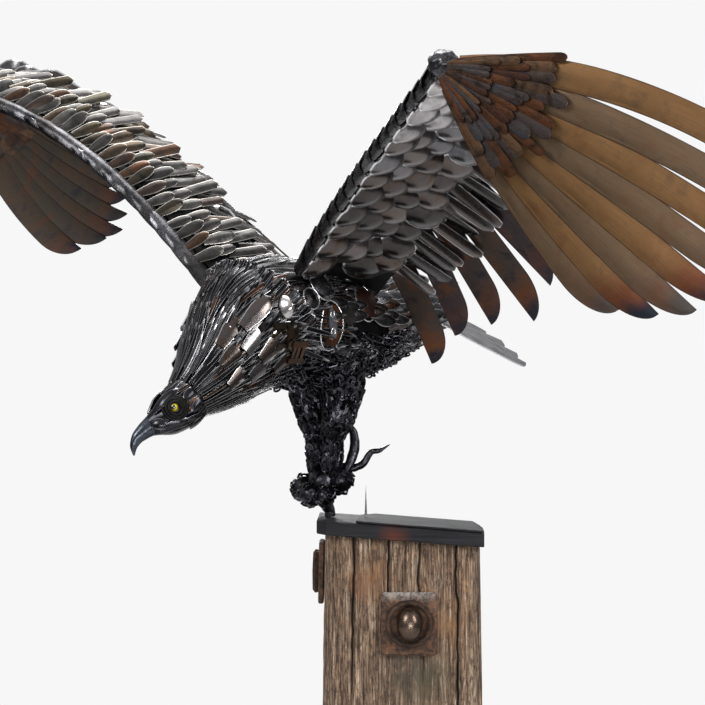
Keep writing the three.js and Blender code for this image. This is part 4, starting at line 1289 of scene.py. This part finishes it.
class Wing:
    def __init__(self, **values):
        self.__dict__.update(values)
        self.shoulder = np.array([BODY_X + self.side * SHOULDER_HALF_SPAN, SHOULDER_Y,
                                  SHOULDER_HEIGHT + self.shoulder_lift])
        self.arm = np.array([self.side * ARM_OUT, -ARM_FORWARD, self.arm_up], float)
        self.length = np.linalg.norm(self.arm)
        self.wrist = self.shoulder + self.arm
        self.out = unit(self.hand_out)
        down = np.array(self.hand_down, float)
        self.down = unit(down - self.out * (down @ self.out))
        self.top = unit(np.cross(self.down, self.out)) * self.side

    def arm_point(self, along, back, lift):
        """A share of the way to the wrist, a distance back, and a lift off the skin."""
        along, back, lift = np.broadcast_arrays(*(np.asarray(v, float) for v in (along, back, lift)))
        straight_from = (self.rise - self.end_slope) / (2 * self.fall)
        curved = np.minimum(back, straight_from)
        spot = self.shoulder + self.arm * along[..., None]
        spot[..., 1] += back
        spot[..., 2] += 4 * self.bow * along * (1 - along) + self.rise * curved - self.fall * curved**2
        spot[..., 2] += self.end_slope * (back - curved)
        slope = self.rise - 2 * self.fall * curved
        chord = np.stack([np.zeros_like(slope), np.ones_like(slope), slope], -1)
        return spot + unit(np.cross(self.arm, chord)) * self.side * lift[..., None]

    def arm_axes(self, along, back, lift):
        """A point of the skin, which way its top faces, and the way back along it."""
        spot = self.arm_point(along, back, lift)
        up = unit(self.arm_point(along, back, 1.0) - self.arm_point(along, back, 0.0))
        behind = unit(self.arm_point(along, back + 2.0, lift) - self.arm_point(along, back - 2.0, lift))
        return spot, up, behind

    def hand_point(self, out, down, lift):
        out, down, lift = np.broadcast_arrays(*(np.asarray(v, float) for v in (out, down, lift)))
        droop = HAND_DROOP * (out * out + down * down) / 500**2
        return (self.wrist + self.out * out[..., None] + self.down * down[..., None]
                + self.top * (lift - droop)[..., None])


LEFT = Wing(
    name="left", side=1, arm_up=262, shoulder_lift=0, rise=0.35, fall=0.0022, end_slope=-0.8, bow=14,
    hand_out=(0.914, 0.399, -0.069), hand_down=(-0.11, 0.083, -0.99),
    base_angle=lambda k: -4 + 65 * (k / 7) ** 0.75, tip_angle=lambda k: 16.5 + 5.4 * k,
    reach=lambda k: 548 - 3.5 * (k - 1) ** 2, covert_reach=168, covert_from=-6, covert_to=62, secondaries=6,
    secondary_root=lambda t: 0.12 + 0.36 * t**0.6, secondary_tip=lambda t: -0.1 + 0.76 * t,
    secondary_reach=lambda t: 342 + 88 * math.exp(-(((t - 0.65) / 0.28) ** 2)))
RIGHT = Wing(
    name="right", side=-1, arm_up=312, shoulder_lift=-18, rise=1, fall=0.0062, end_slope=-0.62, bow=56,
    hand_out=(-0.402, 0.768, -0.498), hand_down=(0.453, 0.64, 0.62),
    base_angle=lambda k: -10 + 4.6 * k, tip_angle=lambda k: 1 + 20 * (k / 7) ** 0.7,
    reach=lambda k: 590 - 22 * abs(k - 2) ** 1.4, covert_reach=150, covert_from=-18, covert_to=30,
    secondaries=5, secondary_root=lambda t: 0.1 + 0.72 * t, secondary_tip=lambda t: -0.05 + 0.8 * t,
    secondary_reach=lambda t: 330 + 70 * math.exp(-(((t - 0.68) / 0.28) ** 2)))


def feather(name, centre, place, width, tip_side, lift, finish, slot, node, tone, crown=1.6, along=40,
            across=6):
    """A feather cut from sheet, hollow-ground across, with one edge straight to the tip."""
    x = np.linspace(0, 1, along + 1)
    s = 1 - (1 - x) ** 1.6
    taper = 0.55 + 0.45 * np.sin(np.minimum(1, s / 0.4) * math.pi / 2)
    point = np.sqrt(np.maximum(0, 1 - (np.maximum(0, s - 0.8) / 0.2) ** 2)) * 0.97 + 0.03
    half = width / 2 * taper * point
    shift = tip_side * (width / 2 * taper - half)
    here, ahead = centre(s), centre(s + 0.01)
    slope = unit(ahead - here)
    v = np.linspace(-1, 1, across + 1)
    off = v * half[:, None] + shift[:, None]
    a = here[:, 0, None] - slope[:, 1, None] * off
    b = here[:, 1, None] + slope[:, 0, None] * off
    bow = lift + crown * (1 - v**2) * np.ones_like(off)
    work = Work()
    work.sheet(place(a, b, bow + SHEET / 2), place(a, b, bow - SHEET / 2), tone)
    settle(mesh_object(name, work, finish, 40), slot, node)


def make_primaries(wing, finish):
    for k in range(PRIMARY_COUNT):
        reach = wing.reach(k)

        def centre(s, k=k, reach=reach):
            r = blend(PRIMARY_ROOT, reach, s)
            angle = np.radians(blend(wing.base_angle(k), wing.tip_angle(k), r / reach))
            return np.stack([r * np.cos(angle), r * np.sin(angle)], -1)

        feather(f"{wing.name}_primary_blade_{k + 1}", centre, wing.hand_point, PRIMARY_WIDTH, -wing.side,
                LAYER * (PRIMARY_COUNT - k), finish, "heat_tinted_steel", f"{wing.name}_primary_{k + 1}",
                0.2 if k % 2 == 0 else 0.75)


def make_secondaries(wing):
    count = wing.secondaries
    for k in range(count):
        share = k / (count - 1)

        def centre(s, share=share):
            along = blend(wing.secondary_root(share), wing.secondary_tip(share), s)
            return np.stack([along * wing.length, blend(SECONDARY_ROOT, wing.secondary_reach(share), s)], -1)

        feather(f"{wing.name}_secondary_blade_{k + 1}", centre,
                lambda a, b, lift: wing.arm_point(a / wing.length, b, lift), SECONDARY_WIDTH, 1,
                LAYER * (1.4 + 0.9 * k), UMBER,
                "heat_tinted_steel", f"{wing.name}_secondary_{k + 1}", (0.2, 0.8, 0.5)[k % 3], 1.0)


def make_coverts(wing):
    """Three rows of short strips fanned out from the wrist over the roots of the primaries."""
    rng = np.random.default_rng(40 + wing.side)
    work = Work()
    rows = (
        # strips, root, reach, half width, layer
        (15, 36, wing.covert_reach + 16, 8.5, 9.2), (14, 26, wing.covert_reach * 0.8, 6.0, 10.4),
        (12, 20, wing.covert_reach * 0.55, 4.2, 11.4),
    )
    for count, root, reach, half, layer in rows:
        for k in range(count):
            share = (k + 0.5) / count
            degrees = blend(wing.covert_from - 2, wing.covert_to + 2, share) + rng.normal() * 0.8
            end = degrees + 4 * (0.5 - share)
            t = 1 - (1 - np.linspace(0, 1, 14)) ** 2.4
            r = blend(root, reach * rng.uniform(0.88, 1.08), t)
            angle = np.radians(blend(degrees, end, t))
            lift = LAYER * layer + 1.2 * (count - k) / count + 2.5 * t
            centres = wing.hand_point(r * np.cos(angle), r * np.sin(angle), lift)
            normals = np.repeat(wing.top[None], len(t), 0)
            width = half * rounded(t, 0.85, 0.93) * rng.uniform(0.75, 1.2)
            ribbon(work, centres, normals, width, width, 1.6, 0.06, 3,
                   rng.choice([0.1, 0.1, 0.3, 0.5, 0.7, 0.9]))
    settle(mesh_object(f"{wing.name}_covert_strips", work, COVERT, 30), "heat_tinted_steel",
           f"{wing.name}_wing_coverts")


def make_leading_edge(wing, count, pointed):
    """Overlapping plates folded round the front of the arm, each flaring toward the wrist."""
    rng = np.random.default_rng(70 + wing.side)
    work = Work()
    for k in range(count):
        start = -0.03 + 0.985 * k / count
        run = 0.985 / count * 1.5
        t = np.linspace(0, 1, 9)
        along = start + run * t
        t_down = t[:, None]
        size = (1 - 0.3 * start) * rng.uniform(0.96, 1.05)
        swell = 12.5 + 2.5 * t_down if pointed else 12.0 + 4.0 * np.sin(math.pi * np.minimum(1,
                                                                                             0.15 + 0.8 * t_down))
        spread = np.radians(150) * np.maximum(0.1,
                                              np.sqrt(np.clip(1 - t_down ** (7 if pointed else 3), 0, 1)))
        v = np.linspace(-1, 1, 9)
        angle = math.pi + 0.3 + v * spread
        base = wing.arm_point(along[:, None] + 0.02 * v * t_down, -2.0, 0.0)
        flare = (0.8 + 6.0 * max(0, start - 0.6) / 0.4 if pointed else 1.5) * t_down**3
        around = np.zeros(angle.shape + (3,))
        around[..., 1] = np.cos(angle)
        around[..., 2] = -np.sin(angle)
        outer = base + around * (swell * size + flare)[..., None]
        inner = base + around * (swell * size + flare - 1.8)[..., None]
        work.sheet(outer, inner, rng.uniform(0.2, 1.0))
    core = Limb([(*wing.arm_point(t, 0.0, 0.0), 6, 6) for t in np.linspace(-0.03, 0.965, 12)], (0, 0, 1))
    limb_work(core, 50, 10, work=work)
    settle(mesh_object(f"{wing.name}_leading_plates", work, DARK, 35), "dark_steel", f"{wing.name}_wing_arm")


def arm_spots(wing, backs, spacing, size, face, lift, rng, along=(0.0, 0.96), tone=lambda a, b: 0.5,
              side_turn=0.0):
    """Rows of spots along the arm. face is +1 on the top and -1 beneath."""
    spots = Spots()
    for i, back in enumerate(backs):
        count = int((along[1] - along[0]) * wing.length / spacing)
        for j in range(count):
            a = along[0] + (along[1] - along[0]) * (j + 0.5 * (i % 2) + 0.1 * rng.normal()) / count
            b = back + 2.5 * rng.normal()
            spot, up, behind = wing.arm_axes(a, b, face * (lift + 1.2 * (len(backs) - i)))
            way = unit(behind + side_turn * unit(wing.arm))
            scale = rng.uniform(0.88, 1.12)
            spots.add(spot, up * face, way, (size[0] * scale, size[1] * scale, size[1]), tone(a, back))
    return spots


def make_arm(wing):
    rng = np.random.default_rng(100 + wing.side)
    skin = Work()
    along, back = np.meshgrid(np.linspace(-0.1, 0.93, 40), np.linspace(0, 1, 30), indexing="ij")
    back = blend(12.0, 196 + 60 * along, back)
    skin.sheet(wing.arm_point(along, back, 0.8), wing.arm_point(along, back, -0.8))
    settle(mesh_object(f"{wing.name}_arm_skin", skin, CORE, 50), "dark_steel", f"{wing.name}_wing_skin")

    # Painted reflection: the bowls' tone rises toward the wrist, more on the near wing, so the upper bowls turn
    # almost white.
    def bowl_painted_reflection(a, b):
        most = 1.0 if wing.side > 0 else 0.3
        return float(np.clip(0.03 + 0.95 * most * max(a, 0) ** 2.4 + 0.07 * rng.normal() - 0.0003 * b, 0.0,
                             1))

    # The stained tints are the plates' own colour; the plain plates reach brighter tones toward the wrist,
    # painted light from above.
    def patina_tone_and_painted_light(a, b):
        stained = 0.12 + 0.6 * math.exp(-(((a - 0.45) / 0.22) ** 2))
        return rng.uniform(0, 0.42) if rng.uniform() < stained else rng.uniform(0.5, 0.75 + 0.25 * max(a, 0))

    bowls = arm_spots(wing, (0, 44, 88, 130), 41, (80, 56), -1, 4.0, rng, (-0.02, 0.97), bowl_painted_reflection, 0.15)
    lay(f"{wing.name}_spoon_bowls", bowls, BOWL, SILVER, "bright_steel", lean=0.08, roll=-0.2 * wing.side,
        wobble=0.06,
        seed=23)
    knives = arm_spots(wing, (150, 188), 30, (118, 25), -1, 1.5, rng, (0.02, 0.93),
                       lambda a, b: rng.uniform(0.0, 0.16), 0.05)
    lay(f"{wing.name}_knife_blades", knives, KNIFE, SILVER, "bright_steel", lean=0.02, roll=0.12, wobble=0.06,
        seed=29)
    blades = arm_spots(wing, (150, 112, 78, 50), 22, (66, 18), 1, 2.0, rng, (-0.06, 0.97), patina_tone_and_painted_light, -0.5)
    lay(f"{wing.name}_top_blades", blades, PLATE, PATINA, "bright_steel", lean=0.06, roll=0.2, wobble=0.19,
        seed=31)
    tips = arm_spots(wing, (2, 24), 21, (52, 20), 1, 3.0, rng, (-0.04, 0.97), patina_tone_and_painted_light, -0.5)
    lay(f"{wing.name}_top_spoons", tips, SPOON_TIP, PATINA, "bright_steel", lean=0.06, roll=0.2, wobble=0.13,
        seed=37)

    weld = Work()
    bead = np.linspace(0.0, 0.94, 170)
    ragged = np.array([noise.noise(Vector((k * 0.45, wing.side * 9.0, 3.0))) for k in range(len(bead))])
    _, up, _ = wing.arm_axes(bead, 13, 0)
    ribbon(weld, wing.arm_point(bead, 14, -9), -up, 5 + 5 * ragged, 5 - 5 * np.roll(ragged, 5), 2.4, 0.15, 3,
           0.85)
    settle(mesh_object(f"{wing.name}_weld_bead", weld, SILVER, 40), "bright_steel")


def make_knob():
    work = Work()
    rings = []
    for b in np.linspace(0.04, math.pi - 0.04, 26):
        row = []
        for a in circle(36):
            way = np.array([math.sin(b) * math.cos(a), math.sin(b) * math.sin(a), math.cos(b)])
            crumple = 1 + 0.1 * noise.noise(Vector(way * 2.3)) - 0.12 * abs(noise.noise(Vector(way * 3.7 + 5)))
            row.append(LEFT.wrist + way * np.array([24, 21, 20]) * crumple)
        rings.append(row)
    work.tube(np.array(rings), 0.9)
    settle(mesh_object("crumpled_knob", work, DARK, 60), "dark_steel", "left_wrist_knob")


# ---------- tail ----------

TAIL_ROOT = np.array([BODY_X, 112, 916])
TAIL_BACK = unit([0, 0.972, -0.235])
TAIL_LEFT = unit([0.86, -0.08, -0.5])
TAIL_UP = unit(np.cross(TAIL_LEFT, TAIL_BACK))


def tail_point(a, b, lift):
    a, b, lift = np.broadcast_arrays(*(np.asarray(v, float) for v in (a, b, lift)))
    return TAIL_ROOT + TAIL_BACK * a[..., None] + TAIL_LEFT * b[..., None] + TAIL_UP * lift[..., None]


def make_tail():
    for k in range(TAIL_COUNT):
        fan = math.radians(TAIL_STEP * (k - 2))
        reach = TAIL_REACH - 8 * abs(k - 2)

        def centre(s, fan=fan, reach=reach):
            r = blend(TAIL_ROOT_REACH, reach, s)
            return np.stack([r * math.cos(fan), r * math.sin(fan)], -1)

        feather(f"tail_blade_{k + 1}", centre, tail_point, TAIL_WIDTH, 0.6 if k < 2 else -0.6, LAYER * k,
                PALE, "bright_steel",
                f"tail_feather_{k + 1}", 0.6)
    rng = np.random.default_rng(55)
    strips = Work()
    for ring in range(4):
        s = 0.62 + ring * 0.09
        lay_strips(strips, TORSO, 26, (s - 0.03, s + 0.03), (-0.9, math.pi + 0.9), 0.2, 11, (2.0, 9.0), rng,
                   0.25,
                   backward=False, curl=5)
    settle(mesh_object("rump_strips", strips, SILVER, 30), "bright_steel")


# ---------- light, floor and camera ----------


def make_floor():
    work = Work()
    angles = circle(96)
    rings = [[(r * math.cos(a), r * math.sin(a), z) for a in angles] for r,
             z in ((1650, -4), (1650, 0), (800, 0))]
    work.tube(np.array(rings))
    f = Finish("pale_floor", 0.0, 0.75)
    colour = f.ramp(f.clouds(f.object, 6, 3), (0.3, (0.56, 0.56, 0.56)), (0.7, (0.6, 0.6, 0.6)))
    mesh_object("floor", work, f.done(colour), 30)


def make_light(name, place, size, power, aim=(-0.1, -0.1, 0.85)):
    data = bpy.data.lights.new(name, "AREA")
    data.shape = "RECTANGLE"
    data.size, data.size_y = size
    data.energy = power
    lamp = bpy.data.objects.new(name, data)
    bpy.context.scene.collection.objects.link(lamp)
    lamp.location = place
    lamp.rotation_euler = (Vector(aim) - Vector(place)).to_track_quat("-Z", "Y").to_euler()


def make_world():
    bpy.context.scene.view_settings.view_transform = "Standard"
    world = bpy.data.worlds.new("studio")
    bpy.context.scene.world = world
    world.use_nodes = True
    nodes, links = world.node_tree.nodes, world.node_tree.links
    nodes.clear()
    path = nodes.new("ShaderNodeLightPath")
    seen, lit = nodes.new("ShaderNodeBackground"), nodes.new("ShaderNodeBackground")
    seen.inputs["Color"].default_value = (0.93, 0.93, 0.93, 1)
    coords = nodes.new("ShaderNodeTexCoord")
    parts = nodes.new("ShaderNodeSeparateXYZ")
    fade = nodes.new("ShaderNodeValToRGB")
    fade.color_ramp.elements[0].position = 0.35
    fade.color_ramp.elements[0].color = (0.12, 0.12, 0.125, 1)
    fade.color_ramp.elements[1].position = 0.9
    fade.color_ramp.elements[1].color = (1.0, 1.0, 1.02, 1)
    half = nodes.new("ShaderNodeMapRange")
    half.inputs["From Min"].default_value = -1.0
    links.new(coords.outputs["Generated"], parts.inputs[0])
    links.new(parts.outputs["Z"], half.inputs["Value"])
    links.new(half.outputs["Result"], fade.inputs["Fac"])
    links.new(fade.outputs["Color"], lit.inputs["Color"])
    lit.inputs["Strength"].default_value = 0.75
    both = nodes.new("ShaderNodeMixShader")
    out = nodes.new("ShaderNodeOutputWorld")
    links.new(path.outputs["Is Camera Ray"], both.inputs[0])
    links.new(lit.outputs[0], both.inputs[1])
    links.new(seen.outputs[0], both.inputs[2])
    links.new(both.outputs[0], out.inputs["Surface"])


def make_camera():
    data = bpy.data.cameras.new("camera")
    data.sensor_width = 36
    data.lens = CAMERA_LENS
    camera = bpy.data.objects.new("camera", data)
    bpy.context.scene.collection.objects.link(camera)
    camera.location = CAMERA_PLACE
    camera.rotation_euler = Vector((-1, 1, 0)).to_track_quat("-Z", "Y").to_euler()
    bpy.context.scene.camera = camera


def make_lights():
    for name, place, size, power in (
            ("left_softbox", (0.2, -3.6, 2.6), (1.4, 1.4), 95),
            ("right_softbox", (3.4, 0.2, 2.2), (1.0, 1.8), 80),
            ("top_softbox", (-0.6, 0.3, 3.4), (1.6, 1.6), 85),
            ("back_softbox", (-3.2, 2.4, 1.8), (1.0, 1.8), 70),
            ("low_fill", (2.4, -1.8, 0.25), (1.6, 0.4), 30)):
        make_light(name, place, size, power)


make_camera()
make_world()
make_lights()
make_floor()
make_base()
make_torso()
make_neck()
make_head()
make_legs()
for wing in (LEFT, RIGHT):
    make_arm(wing)
    make_leading_edge(wing, 16 if wing.side > 0 else 15, wing.side > 0)
    make_secondaries(wing)
    make_coverts(wing)
make_primaries(LEFT, GOLDEN)
make_primaries(RIGHT, SHADED)
make_knob()
make_tail()
for pattern in PATTERNS:
    bpy.data.objects.remove(pattern)
